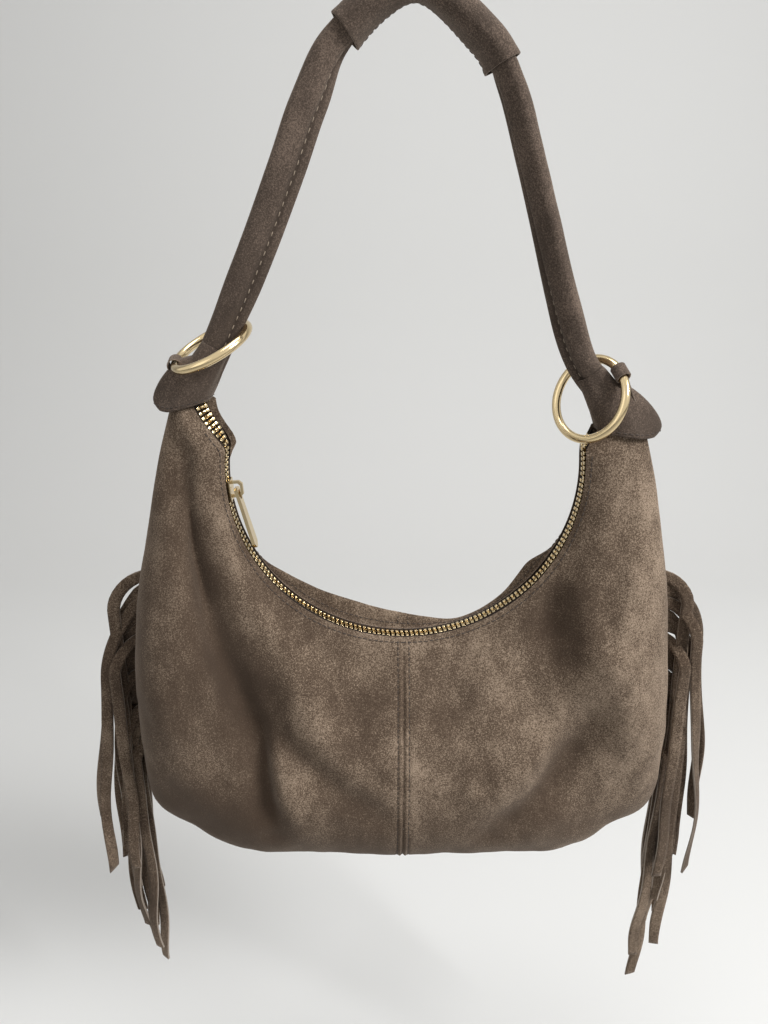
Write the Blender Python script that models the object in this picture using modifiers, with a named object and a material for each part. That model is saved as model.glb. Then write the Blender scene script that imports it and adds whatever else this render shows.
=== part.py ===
"""Fringed suede shoulder bag: metres, +Z up, front toward -Y, origin where the strap's top hangs."""
import math

import bmesh
import bpy
import numpy as np
from mathutils import Matrix, Vector

# Zip track: an arc in the XZ plane, so that the slider can run along all of it
ZIP_R = 0.104
ZIP_Z = -0.233
SLOT = 0.0012
TOOTH_PITCH = 0.0030
TOOTH_LONG = 0.0015
TOOTH_REACH = 0.0018
TOOTH_HIGH = 0.0030
BEAD_WIDE = 0.0011
TEETH_END = {-1: 13.0, 1: 7.0}

# Body outline seen from the front; left is -1, right is +1
BELLY_X = 0.169
BELLY_Z = -0.415
BOTTOM_Z = -0.494
CORNER_POWER = 5.0
HORN_ANGLE = {-1: 23.0, 1: 16.0}
HORN_OUT_R = 0.139
HORN_SWELL = 0.9
HORN_PINCH = -0.0012
# Distance from the zip's arc to the panel edge: (angle above the horizontal in degrees, metres)
EDGE_RISE = ((-90.0, -0.002), (-74.0, 0.000), (-56.0, 0.008), (-33.0, 0.004), (-5.0, -0.002),
             (8.0, 0.001), (25.0, 0.010))
# Half depth of the body: (share of the way from the centre seam to the horn's tip, metres)
DEPTH = ((0.0, 0.045), (0.2, 0.043), (0.34, 0.031), (0.5, 0.036), (0.7, 0.024), (0.85, 0.012), (1.0, 0.0045))
# Where on the way from the zip to the seam the body is deepest
DEEPEST = ((0.0, 0.70), (0.34, 0.66), (0.7, 0.55), (1.0, 0.50))
MOUTH_HALF = 0.0105
MOUTH_HORN = 0.0084
MOUTH_TIP = 0.0054
SUEDE = 0.0016
SEAM_LIFT = 0.0006
GAP = 0.0003

# Zip tape
TAPE = 0.0006
TAPE_LEVEL = 0.0062
TAPE_TUCK = 0.005
TAPE_SHORT = 5.5

# Slider and pull
SLIDER_LONG = 0.012
SLIDER_HALF = 0.0048
SLIDER_PLATE = 0.0012
SLIDER_ROOM = 0.0006
SLIDER_WEB = 0.0006
FLANGE = 0.0009
SLIDER_REST = -4.0
ARCH_LONG = 0.0100
ARCH_HIGH = 0.0065
ARCH_WIRE = 0.0016
ARCH_WIDE = 0.0020
PULL_LONG = 0.038
PULL_WIDE = 0.0080
PULL_NECK = 0.0066
PULL_THICK = 0.0020
EYE_LONG = 0.0056
EYE_WIDE = 0.0036
EYE_BAR = 0.0016
PULL_TILT = 10.0

# Strap and wrap: stations from the left band over the top to the right band
STRAP_THICK = 0.011
STRAP_WIDE = 0.024
STRAP_SLIM = 0.28
# x, z, turn of the broad face about the strap's own line in degrees
STRAP_LINE = ((-0.1135, -0.1735, 0.0), (-0.096, -0.140, 0.0), (-0.079, -0.105, 4.0), (-0.063, -0.069, 10.0),
              (-0.0505, -0.040, 25.0), (-0.034, -0.0135, 60.0), (0.002, 0.0083, 90.0), (0.036, -0.0135, 80.0),
              (0.049, -0.034, 65.0), (0.0585, -0.060, 60.0), (0.070, -0.095, 55.0), (0.082, -0.132, 45.0),
              (0.0955, -0.166, 20.0), (0.1135, -0.1870, 0.0))
WRAP_THICK = 0.0018
STRAP_STEPS = 40
WRAP_FIRST = 16
WRAP_LAST = 25

# Bands, rings, loops
BAND_DOWN = 0.008
BAND_UP = 0.010
BAND_SKEW = {-1: 0.72, 1: 0.42}
BAND_WALL = 0.0022
BAND_POWER = 3.0
RING_R = 0.0225
RING_WIRE = 0.0025
LOOP_WALL = 0.0014
LOOP_WIDE = 0.008
LOOP_AIM = {-1: 0.8, 1: 0.85}
LOOP_ROUND = {-1: 0.0, 1: 28.0}

# Fringe
FRINGE_TOP = -0.292
FRINGE_STRIPS = 17
STRIP_WIDE = 0.0072
STRIP_CUT = 0.0014
STRIP_LONG = 0.205
FRINGE_THICK = 0.0014
HEAD_IN = 0.006
HEAD_OUT = 0.002
HANG_TOP = 0.2035
HANG_LOW = 0.1785
LAYERS = 7
LAYER_STEP = 0.0023

SIDES = {-1: "left", 1: "right"}
FACES = {-1: "front", 1: "back"}


def clear():
    for obj in list(bpy.data.objects):
        bpy.data.objects.remove(obj, do_unlink=True)


def material(name, colour, roughness, metallic=0.0):
    mat = bpy.data.materials.new(name)
    mat.use_nodes = True
    shader = mat.node_tree.nodes["Principled BSDF"]
    shader.inputs["Base Color"].default_value = (*colour, 1.0)
    shader.inputs["Roughness"].default_value = roughness
    shader.inputs["Metallic"].default_value = metallic
    mat.diffuse_color = (*colour, 1.0)
    return mat


def smooth(stations, x):
    """Value between stations on a curve that passes through them without overshoot."""
    xs = [s[0] for s in stations]
    ys = [s[1] for s in stations]
    x = min(max(x, xs[0]), xs[-1])
    k = max(i for i in range(len(xs) - 1) if xs[i] <= x)
    h = xs[k + 1] - xs[k]
    t = (x - xs[k]) / h

    def slope(i):
        if i == 0 or i == len(xs) - 1:
            return 0.0 if i == 0 else (ys[i] - ys[i - 1]) / (xs[i] - xs[i - 1])
        a = (ys[i] - ys[i - 1]) / (xs[i] - xs[i - 1])
        b = (ys[i + 1] - ys[i]) / (xs[i + 1] - xs[i])
        return 0.0 if a * b <= 0 else 2 * a * b / (a + b)

    m0, m1 = slope(k) * h, slope(k + 1) * h
    return ((2 * t**3 - 3 * t**2 + 1) * ys[k] + (t**3 - 2 * t**2 + t) * m0
            + (3 * t**2 - 2 * t**3) * ys[k + 1] + (t**3 - t**2) * m1)


def ease(x):
    x = min(max(x, 0.0), 1.0)
    return x * x * (3 - 2 * x)


def new_object(name, bm, mat, collection):
    mesh = bpy.data.meshes.new(name)
    bm.to_mesh(mesh)
    bm.free()
    obj = bpy.data.objects.new(name, mesh)
    mesh.materials.append(mat)
    collection.objects.link(obj)
    return obj


def sheet(name, across, along, place, mat, collection, thick=SUEDE, flip=False, wrap=False):
    """A cut sheet: a grid laid on a surface and given thickness on one side."""
    bm = bmesh.new()
    bmesh.ops.create_grid(bm, x_segments=across, y_segments=along, size=0.5)
    for vert in bm.verts:
        vert.co = place(vert.co.x + 0.5, vert.co.y + 0.5)
    if wrap:
        bmesh.ops.remove_doubles(bm, verts=bm.verts, dist=0.00001)
    if flip:
        bmesh.ops.reverse_faces(bm, faces=bm.faces)
    obj = new_object(name, bm, mat, collection)
    solid = obj.modifiers.new("Thickness", "SOLIDIFY")
    solid.thickness = thick
    solid.offset = -1.0
    solid.use_even_offset = True
    return obj


# Body surface

def horn_end(side):
    return math.radians(HORN_ANGLE[side])


def polar(side, angle, radius, y=0.0):
    return Vector((side * radius * math.cos(angle), y, ZIP_Z + radius * math.sin(angle)))


def mouth_angle(side, share):
    return -math.pi / 2 + share * (math.pi / 2 + horn_end(side))


def mouth_half(share):
    return MOUTH_HALF - (MOUTH_HALF - MOUTH_HORN) * ease((share - 0.5) / 0.3) \
        - (MOUTH_HORN - MOUTH_TIP) * ease((share - 0.91) / 0.09)


def edge_radius(angle):
    return ZIP_R + smooth(EDGE_RISE, math.degrees(angle))


OUTLINES = {}


def outline(side, share):
    """Point of the bottom and side seam at a share of its length from the bottom's middle."""
    if side not in OUTLINES:
        tip = polar(1, horn_end(side), HORN_OUT_R)
        points = []
        for k in range(121):
            a = math.pi / 2 * k / 120
            points.append((BELLY_X * math.sin(a) ** (2 / CORNER_POWER),
                           BELLY_Z - (BELLY_Z - BOTTOM_Z) * max(math.cos(a), 0.0) ** (2 / CORNER_POWER)))
        for k in range(1, 121):
            w = k / 120
            x = tip.x + (BELLY_X - tip.x) * max(math.cos(math.pi / 2 * w), 0.0) ** HORN_SWELL
            points.append((x, BELLY_Z + (tip.z - BELLY_Z) * w))
        points = np.array(points)
        run = np.concatenate([[0.0], np.cumsum(np.hypot(*np.diff(points, axis=0).T))])
        OUTLINES[side] = (points, run / run[-1])
    points, run = OUTLINES[side]
    return Vector((side * np.interp(share, run, points[:, 0]), 0.0, np.interp(share, run, points[:, 1])))


def fringe_window(z):
    """1 where the fringe's head lies between the panels, 0 well away from it."""
    low = FRINGE_TOP - FRINGE_STRIPS * (STRIP_WIDE + STRIP_CUT)
    return ease((FRINGE_TOP + 0.022 - z) / 0.016) * ease((z - low + 0.022) / 0.016)


def wall(side, face, share, down):
    """Outer surface: share runs from the centre seam to the horn's tip, down from the zip to the outer seam."""
    angle = mouth_angle(side, share)
    top = polar(side, angle, edge_radius(angle))
    low = outline(side, share)
    deep_at = smooth(DEEPEST, share)
    bulge = smooth(DEPTH, share)
    turn = 0.5
    if down < turn:
        t = deep_at * (down / turn)
        rise = math.sin(math.pi / 2 * down / turn)
    else:
        a = math.pi / 2 * (down - turn) / (1 - turn)
        t = deep_at + (1 - deep_at) * math.sin(a) ** 0.9
        rise = max(math.cos(a), 0.0) ** 0.85
    point = top.lerp(low, t)
    seam = SEAM_LIFT + GAP / 2 + (FRINGE_THICK / 2 + GAP / 2) * fringe_window(low.z)
    y = mouth_half(share) * (1 - t) + seam * t + bulge * rise
    point.y = face * y
    point.x += side * GAP / 2 * (1 - ease(share * 4))
    across = Vector((side * math.cos(horn_end(side)), 0, math.sin(horn_end(side))))
    return point - across * HORN_PINCH * ease((share - 0.9) / 0.08) * math.cos(math.pi * t)


def wall_normal(side, face, share, down):
    step = 0.004
    a = wall(side, face, min(share + step, 1.0), down) - wall(side, face, max(share - step, 0.0), down)
    b = wall(side, face, share, min(down + step, 1.0)) - wall(side, face, share, max(down - step, 0.0))
    normal = a.cross(b).normalized()
    return normal if normal.y * face > 0 else -normal


def panels(mat, collection):
    for side, side_name in SIDES.items():
        for face, face_name in FACES.items():
            sheet(f"{face_name}_{side_name}", 14, 10,
                  lambda u, v, s=side, f=face: wall(s, f, u, v),
                  mat, collection, flip=side * face < 0)


# Zip

def on_track(angle, radius, y):
    """Angle 0 is the right end of the horizontal; it grows through the bottom to the left."""
    return Vector((radius * math.cos(angle), y, ZIP_Z - radius * math.sin(angle)))


def tape(face, mat, collection):
    """Level beside the teeth, then out to the panel's edge and down behind the panel."""
    span = math.pi + math.radians(HORN_ANGLE[-1] + HORN_ANGLE[1] - 2 * TAPE_SHORT)
    first = -math.radians(HORN_ANGLE[1] - TAPE_SHORT)

    def place(u, v):
        angle = first + span * u
        side = 1 if angle < math.pi / 2 else -1
        above = -angle if side > 0 else angle - math.pi
        share = (above + math.pi / 2) / (math.pi / 2 + horn_end(side))
        half = mouth_half(share)
        level = min(TAPE_LEVEL, half - SUEDE - 3 * GAP)
        shift = SUEDE + 2 * GAP + TAPE / 2
        edge = wall(side, face, share, 0.0) - shift * wall_normal(side, face, share, 0.01)
        down = TAPE_TUCK / (1.6 * (outline(side, share) - wall(side, face, 0.5, 0.0).lerp(edge, 1.0)).length)
        tucked = wall(side, face, share, down) - shift * wall_normal(side, face, share, down)
        beside = min(SLOT / 2 + TOOTH_REACH + BEAD_WIDE + GAP, level - 3 * GAP)
        inner = on_track(angle, ZIP_R, face * beside)
        flat = on_track(angle, ZIP_R, face * level)
        row = (inner, flat, edge, tucked)
        k = round(v * 3)
        return row[k]

    obj = sheet(f"zip_tape_{FACES[face]}", 44, 3, place, mat, collection, thick=TAPE, flip=face > 0)
    obj.modifiers["Thickness"].offset = 0.0
    return obj


def teeth(face, mat, collection):
    """A bead with teeth standing from it toward the slot, one closed comb bent round the track."""
    start, end = -math.radians(TEETH_END[1]), math.pi + math.radians(TEETH_END[-1])
    pitch = TOOTH_PITCH / ZIP_R
    tooth = TOOTH_LONG / ZIP_R
    count = int((end - start) / pitch)
    offset = start + (0.0 if face < 0 else pitch / 2)
    tip = SLOT / 2
    root = tip + TOOTH_REACH
    back = root + BEAD_WIDE
    bm = bmesh.new()

    def column(angle, y):
        return [bm.verts.new(on_track(angle, ZIP_R + h, face * y)) for h in (-TOOTH_HIGH / 2, TOOTH_HIGH / 2)]

    cuts = []
    for k in range(count):
        a = offset + k * pitch
        cuts += [(a, True), (a + tooth, False)]
    backs = [column(a, back) for a, _ in cuts]
    roots = [column(a, root) for a, _ in cuts]
    tips = [column(a + tooth / 2, tip) for a, _ in cuts]

    def quad(*verts):
        bm.faces.new(verts)

    last = len(cuts) - 1
    for k in range(last):
        b0, b1, r0, r1, t0 = backs[k], backs[k + 1], roots[k], roots[k + 1], tips[k]
        quad(b0[0], b1[0], b1[1], b0[1])
        quad(b0[0], r0[0], r1[0], b1[0])
        quad(b0[1], b1[1], r1[1], r0[1])
        if cuts[k][1]:
            quad(r0[0], t0[0], r1[0])
            quad(r0[1], r1[1], t0[1])
            quad(r0[0], r0[1], t0[1], t0[0])
            quad(r1[1], r1[0], t0[0], t0[1])
        else:
            quad(r0[0], r0[1], r1[1], r1[0])
    quad(backs[0][0], backs[0][1], roots[0][1], roots[0][0])
    quad(backs[last][1], backs[last][0], roots[last][0], roots[last][1])
    bmesh.ops.delete(bm, geom=[v for v in bm.verts if not v.link_faces], context="VERTS")
    bmesh.ops.recalc_face_normals(bm, faces=bm.faces)
    return new_object(f"zip_teeth_{FACES[face]}", bm, mat, collection)


def prism(name, points, axis, half, mat, collection):
    """A closed outline in the plane across an axis, given thickness along it on both sides."""
    bm = bmesh.new()
    ring = []
    for p, q in points:
        co = {"X": (-half, p, q), "Y": (p, -half, q), "Z": (p, q, -half)}[axis]
        ring.append(bm.verts.new(co))
    cap = bm.faces.new(ring)
    out = bmesh.ops.extrude_face_region(bm, geom=[cap])
    shift = {"X": (2 * half, 0, 0), "Y": (0, 2 * half, 0), "Z": (0, 0, 2 * half)}[axis]
    bmesh.ops.translate(bm, vec=shift, verts=[g for g in out["geom"] if isinstance(g, bmesh.types.BMVert)])
    bmesh.ops.recalc_face_normals(bm, faces=bm.faces)
    return new_object(name, bm, mat, collection)


def slider_top():
    return TOOTH_HIGH / 2 + SLIDER_ROOM + SLIDER_PLATE


def slider_place():
    """From the slider's own frame (X along the track, Z toward the arc's middle) to the bag's."""
    angle = math.pi + math.radians(SLIDER_REST)
    turn = Matrix.Rotation(-(math.pi / 2 - angle), 3, "Y")
    return turn, on_track(angle, ZIP_R, 0.0)


def slider(mat, collection, cutters):
    room = TOOTH_HIGH / 2 + SLIDER_ROOM
    top = slider_top()
    lip = TAPE / 2 + GAP
    inner = SLIDER_HALF - FLANGE
    web = SLIDER_WEB / 2
    upper = [(web, room), (inner, room), (inner, lip), (SLIDER_HALF, lip), (SLIDER_HALF, top)]
    half = [(web, -z) if i == 0 else (y, -z) for i, (y, z) in enumerate(upper)][::-1] + upper
    section = half + [(-y, z) for y, z in half[::-1]]
    body = prism("zip_slider", section, "X", SLIDER_LONG / 2, mat, collection)
    outer = ARCH_LONG / 2
    sunk = top - SLIDER_PLATE / 2
    rise = top + ARCH_HIGH
    cut = ARCH_HIGH * 0.3
    arch_outline = [(-outer, sunk), (-outer, rise - cut), (-outer + cut, rise), (outer - cut, rise),
                    (outer, rise - cut), (outer, sunk), (outer - ARCH_WIRE, sunk),
                    (outer - ARCH_WIRE, rise - ARCH_WIRE - cut * 0.6), (outer - ARCH_WIRE - cut * 0.6, rise - ARCH_WIRE),
                    (-outer + ARCH_WIRE + cut * 0.6, rise - ARCH_WIRE),
                    (-outer + ARCH_WIRE, rise - ARCH_WIRE - cut * 0.6), (-outer + ARCH_WIRE, sunk)]
    arch = prism("slider_arch_tool", arch_outline, "Y", ARCH_WIDE / 2, mat, cutters)
    arch.hide_render = True
    arch.display_type = "WIRE"
    join = body.modifiers.new("Arch", "BOOLEAN")
    join.operation = "UNION"
    join.solver = "EXACT"
    join.object = arch
    turn, spot = slider_place()
    for obj in (body, arch):
        obj.matrix_world = Matrix.Translation(spot) @ turn.to_4x4()
    return body


def pull(mat, collection):
    """A long leaf-shaped tab; its eye's end bar turns in the slider's arch."""
    def half_width(x):
        neck = PULL_NECK / 2
        wide = PULL_WIDE / 2
        body_from = EYE_BAR / 2 + EYE_LONG + 0.002
        return neck + (wide - neck) * ease((x - body_from) / (0.6 * PULL_LONG))

    end = PULL_LONG
    start = -EYE_BAR / 2
    stations = [start + 0.0008, 0.003, EYE_BAR / 2 + EYE_LONG, 0.012, 0.020, 0.028, end - 0.003]
    outer = [Vector((start, PULL_NECK / 2 - 0.0012, 0))]
    outer += [Vector((x, half_width(x), 0)) for x in stations]
    outer += [Vector((end, half_width(end) - 0.003, 0))]
    outer += [Vector((p.x, -p.y, 0)) for p in outer[::-1]]
    x0, x1, w = EYE_BAR / 2, EYE_BAR / 2 + EYE_LONG, EYE_WIDE / 2
    eye = [Vector((x0, -w, 0)), Vector((x0, w, 0)), Vector((x1 - 0.0008, w, 0)), Vector((x1, w - 0.0008, 0)),
           Vector((x1, -w + 0.0008, 0)), Vector((x1 - 0.0008, -w, 0))]
    curve = bpy.data.curves.new("zip_pull", "CURVE")
    curve.dimensions = "2D"
    curve.fill_mode = "BOTH"
    curve.extrude = PULL_THICK / 2
    for loop in (outer, eye):
        line = curve.splines.new("POLY")
        line.points.add(len(loop) - 1)
        for point, co in zip(line.points, loop):
            point.co = (*co, 1.0)
        line.use_cyclic_u = True
    curve.materials.append(mat)
    obj = bpy.data.objects.new("zip_pull", curve)
    collection.objects.link(obj)
    turn, spot = slider_place()
    hinge = spot + turn @ Vector((0, 0, slider_top() + ARCH_HIGH * 0.40))
    tilt = Matrix.Rotation(-math.radians(PULL_TILT), 3, "Y")
    obj.matrix_world = Matrix.Translation(hinge) @ (turn @ tilt).to_4x4()
    return obj


# Strap

def strap_at(share):
    """Centre, direction and turn of the strap at a share of its length."""
    stations = np.array(STRAP_LINE)
    run = np.concatenate([[0.0], np.cumsum(np.hypot(*np.diff(stations[:, :2], axis=0).T))])
    run /= run[-1]

    def at(s):
        s = min(max(s, 0.0), 1.0)
        k = min(int(np.searchsorted(run, s, side="right")) - 1, len(run) - 2)
        p = [stations[min(max(k + d, 0), len(run) - 1)] for d in (-1, 0, 1, 2)]
        t = (s - run[k]) / (run[k + 1] - run[k])
        return 0.5 * ((2 * p[1]) + (p[2] - p[0]) * t + (2 * p[0] - 5 * p[1] + 4 * p[2] - p[3]) * t**2
                      + (3 * p[1] - p[0] - 3 * p[2] + p[3]) * t**3)

    here = at(share)
    ahead = at(share + 0.003) - at(share - 0.003)
    line = Vector((ahead[0], 0.0, ahead[1])).normalized()
    return Vector((here[0], 0.0, here[1])), line, math.radians(here[2])


def strap_section(share, a, wide, thick, power=2.4):
    centre, line, turn = strap_at(share)
    side = line.cross(Vector((0, 1, 0))).normalized()
    front = Vector((0, -1, 0))
    c, s = math.cos(a), math.sin(a)
    p = wide / 2 * math.copysign(abs(c) ** (2 / power), c)
    q = thick / 2 * math.copysign(abs(s) ** (2 / power), s)
    across = side * math.cos(turn) + front * math.sin(turn)
    out = front * math.cos(turn) - side * math.sin(turn)
    return centre + across * p + out * q


def tube(bm, rings, closed=True):
    loops = [[bm.verts.new(p) for p in ring] for ring in rings]
    n = len(loops[0])
    for low, high in zip(loops, loops[1:]):
        for k in range(n):
            bm.faces.new((low[k], low[(k + 1) % n], high[(k + 1) % n], high[k]))
    if closed:
        bm.faces.new(loops[0][::-1])
        bm.faces.new(loops[-1])
    bmesh.ops.recalc_face_normals(bm, faces=bm.faces)


def strap(mat, collection):
    bm = bmesh.new()
    rings = []
    for k in range(STRAP_STEPS + 1):
        share = k / STRAP_STEPS
        end = min(share, 1 - share)
        slim = 1 - STRAP_SLIM * (1 - ease((end - 0.05) / 0.08))
        rings.append([strap_section(share, 2 * math.pi * j / 12, STRAP_WIDE * slim, STRAP_THICK) for j in range(12)])
    tube(bm, rings)
    return new_object("strap", bm, mat, collection)


def strap_wrap(mat, collection):
    grow = 2 * (GAP + WRAP_THICK) + 0.0006

    def place(u, v):
        share = (WRAP_FIRST + (WRAP_LAST - WRAP_FIRST) * u) / STRAP_STEPS
        return strap_section(share, 2 * math.pi * v, STRAP_WIDE + grow, STRAP_THICK + grow)

    return sheet("strap_wrap", WRAP_LAST - WRAP_FIRST, 12, place, mat, collection, thick=WRAP_THICK, wrap=True, flip=True)


# Bands, rings, loops

def horn_frame(side):
    """Middle of the horn's tip, the direction out of it and the direction across it away from the arc."""
    angle = horn_end(side)
    inner = edge_radius(angle)
    middle = polar(side, angle, (inner + HORN_OUT_R) / 2)
    out = Vector((-side * math.sin(angle), 0, math.cos(angle)))
    across = Vector((side * math.cos(angle), 0, math.sin(angle)))
    return middle, out, across, (HORN_OUT_R - inner) / 2


def band(side, mat, collection):
    middle, out, across, half = horn_frame(side)
    wide = half + 2 * GAP + BAND_WALL + 0.0012
    deep = 0.0098 + BAND_WALL

    def place(u, v):
        a = 2 * math.pi * v
        c, s = math.cos(a), math.sin(a)
        p = wide * math.copysign(abs(c) ** (2 / BAND_POWER), c)
        q = deep * math.copysign(abs(s) ** (2 / BAND_POWER), s)
        rise = BAND_UP * u - BAND_DOWN * (1 - u) - BAND_SKEW[side] * p
        return middle + across * p + Vector((0, q, 0)) + out * rise

    return sheet(f"band_{SIDES[side]}", 3, 20, place, mat, collection, thick=BAND_WALL, wrap=True, flip=side > 0)


# Ring centre, then the ring's long axis in view and the axis that leans away, as unit vectors
RINGS = {
    -1: {"centre": (-0.1058, 0.0, -0.158), "long": (0.906, 0.0, 0.423), "lean": (-0.12, 0.97, 0.20)},
    1: {"centre": (0.1025, 0.0, -0.187), "long": (0.366, 0.0, 0.930), "lean": (-0.54, 0.82, 0.21)},
}


def ring_axes(side):
    long = Vector(RINGS[side]["long"]).normalized()
    lean = Vector(RINGS[side]["lean"])
    lean = (lean - long * lean.dot(long)).normalized()
    return Vector(RINGS[side]["centre"]), long, lean, long.cross(lean)


def ring(side, mat, collection):
    centre, long, lean, normal = ring_axes(side)
    bm = bmesh.new()
    n, m = 24, 8
    loops = []
    for k in range(n):
        a = 2 * math.pi * k / n
        radial = long * math.cos(a) + lean * math.sin(a)
        loops.append([bm.verts.new(centre + radial * (RING_R + RING_WIRE * math.cos(2 * math.pi * j / m))
                                   + normal * RING_WIRE * math.sin(2 * math.pi * j / m)) for j in range(m)])
    for k in range(n):
        for j in range(m):
            bm.faces.new((loops[k][j], loops[k][(j + 1) % m], loops[(k + 1) % n][(j + 1) % m], loops[(k + 1) % n][j]))
    bmesh.ops.recalc_face_normals(bm, faces=bm.faces)
    return new_object(f"ring_{SIDES[side]}", bm, mat, collection)


def loop_point(side):
    """Where the loop holds the ring, outward from the ring's middle, and along the wire."""
    centre, long, lean, normal = ring_axes(side)
    turn = math.radians(LOOP_ROUND[side])
    radial = long * side * math.cos(turn) - lean * math.sin(turn)
    return centre + radial * RING_R, radial, normal.cross(radial).normalized()


def ring_loop(side, mat, collection):
    """A strip folded round the ring's wire, its tail ending at the band."""
    spot, radial, tangent = loop_point(side)
    middle, out, across, half = horn_frame(side)
    aim = half * LOOP_AIM[side]
    toward = middle + out * (BAND_UP - BAND_SKEW[side] * aim) + across * aim - spot
    toward.y *= 0.4
    toward = (toward - tangent * toward.dot(tangent))
    reach = toward.length
    toward.normalize()
    other = tangent.cross(toward)
    inner = RING_WIRE + GAP + 0.0004
    outer = inner + LOOP_WALL
    bm = bmesh.new()
    tail = max(reach - BAND_WALL - GAP - 0.0008, outer + 0.0015)
    pointed = [(tail, LOOP_WALL * 0.9)] + [(outer * math.cos(a), outer * math.sin(a))
                                           for a in np.linspace(0.75, 2 * math.pi - 0.75, 13)] + [(tail, -LOOP_WALL * 0.9)]
    hole = [(inner * math.cos(a), inner * math.sin(a)) for a in np.linspace(0.75, 2 * math.pi - 0.75, 13)]
    hole = [(inner * 0.98, 0.0006)] + hole + [(inner * 0.98, -0.0006)]
    rings = []
    for level in (-LOOP_WIDE / 2, LOOP_WIDE / 2):
        rings.append([[bm.verts.new(spot + toward * p + other * q + tangent * level) for p, q in line]
                      for line in (pointed, hole)])
    n = len(pointed)
    for k in range(n):
        j = (k + 1) % n
        bm.faces.new((rings[0][0][k], rings[0][0][j], rings[0][1][j], rings[0][1][k]))
        bm.faces.new((rings[1][0][j], rings[1][0][k], rings[1][1][k], rings[1][1][j]))
        bm.faces.new((rings[0][0][k], rings[1][0][k], rings[1][0][j], rings[0][0][j]))
        bm.faces.new((rings[0][1][k], rings[0][1][j], rings[1][1][j], rings[1][1][k]))
    bmesh.ops.recalc_face_normals(bm, faces=bm.faces)
    return new_object(f"ring_loop_{SIDES[side]}", bm, mat, collection)


# Fringe

def seam_x(z):
    """Half width of the outline at a height, the same on both sides near the fringe."""
    points, _ = OUTLINES[1]
    upper = points[points[:, 1] > BELLY_Z - 0.06]
    order = np.argsort(upper[:, 1])
    return float(np.interp(z, upper[order, 1], upper[order, 0]))


def fringe(side, mat, collection):
    """One sheet: an uncut head between the panels and strips that leave it and hang, each in its own layer."""
    outline(1, 0.5)
    columns = 2 * FRINGE_STRIPS - 1
    rows = 10
    step = STRIP_WIDE + STRIP_CUT
    bm = bmesh.new()
    bmesh.ops.create_grid(bm, x_segments=columns, y_segments=rows, size=0.5)
    grid = {}
    for vert in bm.verts:
        grid[(round((vert.co.x + 0.5) * columns), round((vert.co.y + 0.5) * rows))] = vert
    lengths = (1.0, 0.94, 1.04, 0.97, 1.02, 0.92, 1.0)
    for (i, j), vert in grid.items():
        strip = min(i // 2, FRINGE_STRIPS - 1)
        edge = -0.5 if i % 2 == 0 else 0.5
        depth = (strip + 0.5) * step
        z0 = FRINGE_TOP - depth
        if j <= 1:
            z = z0 - edge * STRIP_WIDE
            x = seam_x(z) + (-HEAD_IN if j == 0 else HEAD_OUT)
            vert.co = (side * x, 0.0, z)
            continue
        share = strip / (FRINGE_STRIPS - 1)
        reach = HANG_TOP + (HANG_LOW - HANG_TOP) * share - seam_x(z0) - HEAD_OUT
        drop = 0.8 * reach
        travel = STRIP_LONG * lengths[strip % 7]
        bend = math.pi / 4 * (reach + drop)
        run = travel * ((j - 1) / (rows - 1)) ** 1.35
        if run < bend:
            a = math.pi / 2 * run / bend
            x, z = reach * math.sin(a), -drop * (1 - math.cos(a))
            way = (reach * math.cos(a), -drop * math.sin(a))
        else:
            x, z = reach, -drop - (run - bend)
            way = (0.0, -1.0)
        sway = 0.001 * math.sin(strip * 2.1) * ease((run - bend) / travel)
        size = math.hypot(*way)
        across = (way[1] / size, -way[0] / size)
        off = edge * STRIP_WIDE
        layer = ((strip * 3) % LAYERS - (LAYERS - 1) / 2) * LAYER_STEP
        y = layer * ease(run / (0.32 * bend))
        vert.co = (side * (seam_x(z0) + HEAD_OUT + x + sway + across[0] * off), y, z0 + z + across[1] * off)
    cut = []
    for face in bm.faces:
        keys = [k for k, v in grid.items() if v in face.verts]
        if min(k[0] for k in keys) % 2 == 1 and max(k[1] for k in keys) > 1:
            cut.append(face)
    bmesh.ops.delete(bm, geom=cut, context="FACES")
    obj = new_object(f"fringe_{SIDES[side]}", bm, mat, collection)
    solid = obj.modifiers.new("Thickness", "SOLIDIFY")
    solid.thickness = FRINGE_THICK
    solid.offset = 0.0
    return obj


def main():
    clear()
    bag = bpy.data.collections.new("fringed_suede_bag")
    cutters = bpy.data.collections.new("cutters")
    for collection in (bag, cutters):
        bpy.context.scene.collection.children.link(collection)
    cutters.hide_render = True
    suede = material("suede_body", (0.20, 0.145, 0.105), 0.95)
    strap_suede = material("suede_strap", (0.13, 0.095, 0.07), 0.95)
    fringe_suede = material("suede_fringe", (0.17, 0.125, 0.09), 0.95)
    cloth = material("zip_cloth", (0.03, 0.022, 0.018), 0.9)
    gold = material("pale_gold", (0.75, 0.58, 0.32), 0.25, 1.0)
    panels(suede, bag)
    for face in FACES:
        tape(face, cloth, bag)
        teeth(face, gold, bag)
    slider(gold, bag, cutters)
    pull(gold, bag)
    strap(strap_suede, bag)
    strap_wrap(strap_suede, bag)
    for side in SIDES:
        band(side, strap_suede, bag)
        ring(side, gold, bag)
        ring_loop(side, strap_suede, bag)
        fringe(side, fringe_suede, bag)


main()
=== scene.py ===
import bisect
import math
import random

import bmesh
import bpy
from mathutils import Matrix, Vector, noise


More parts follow.
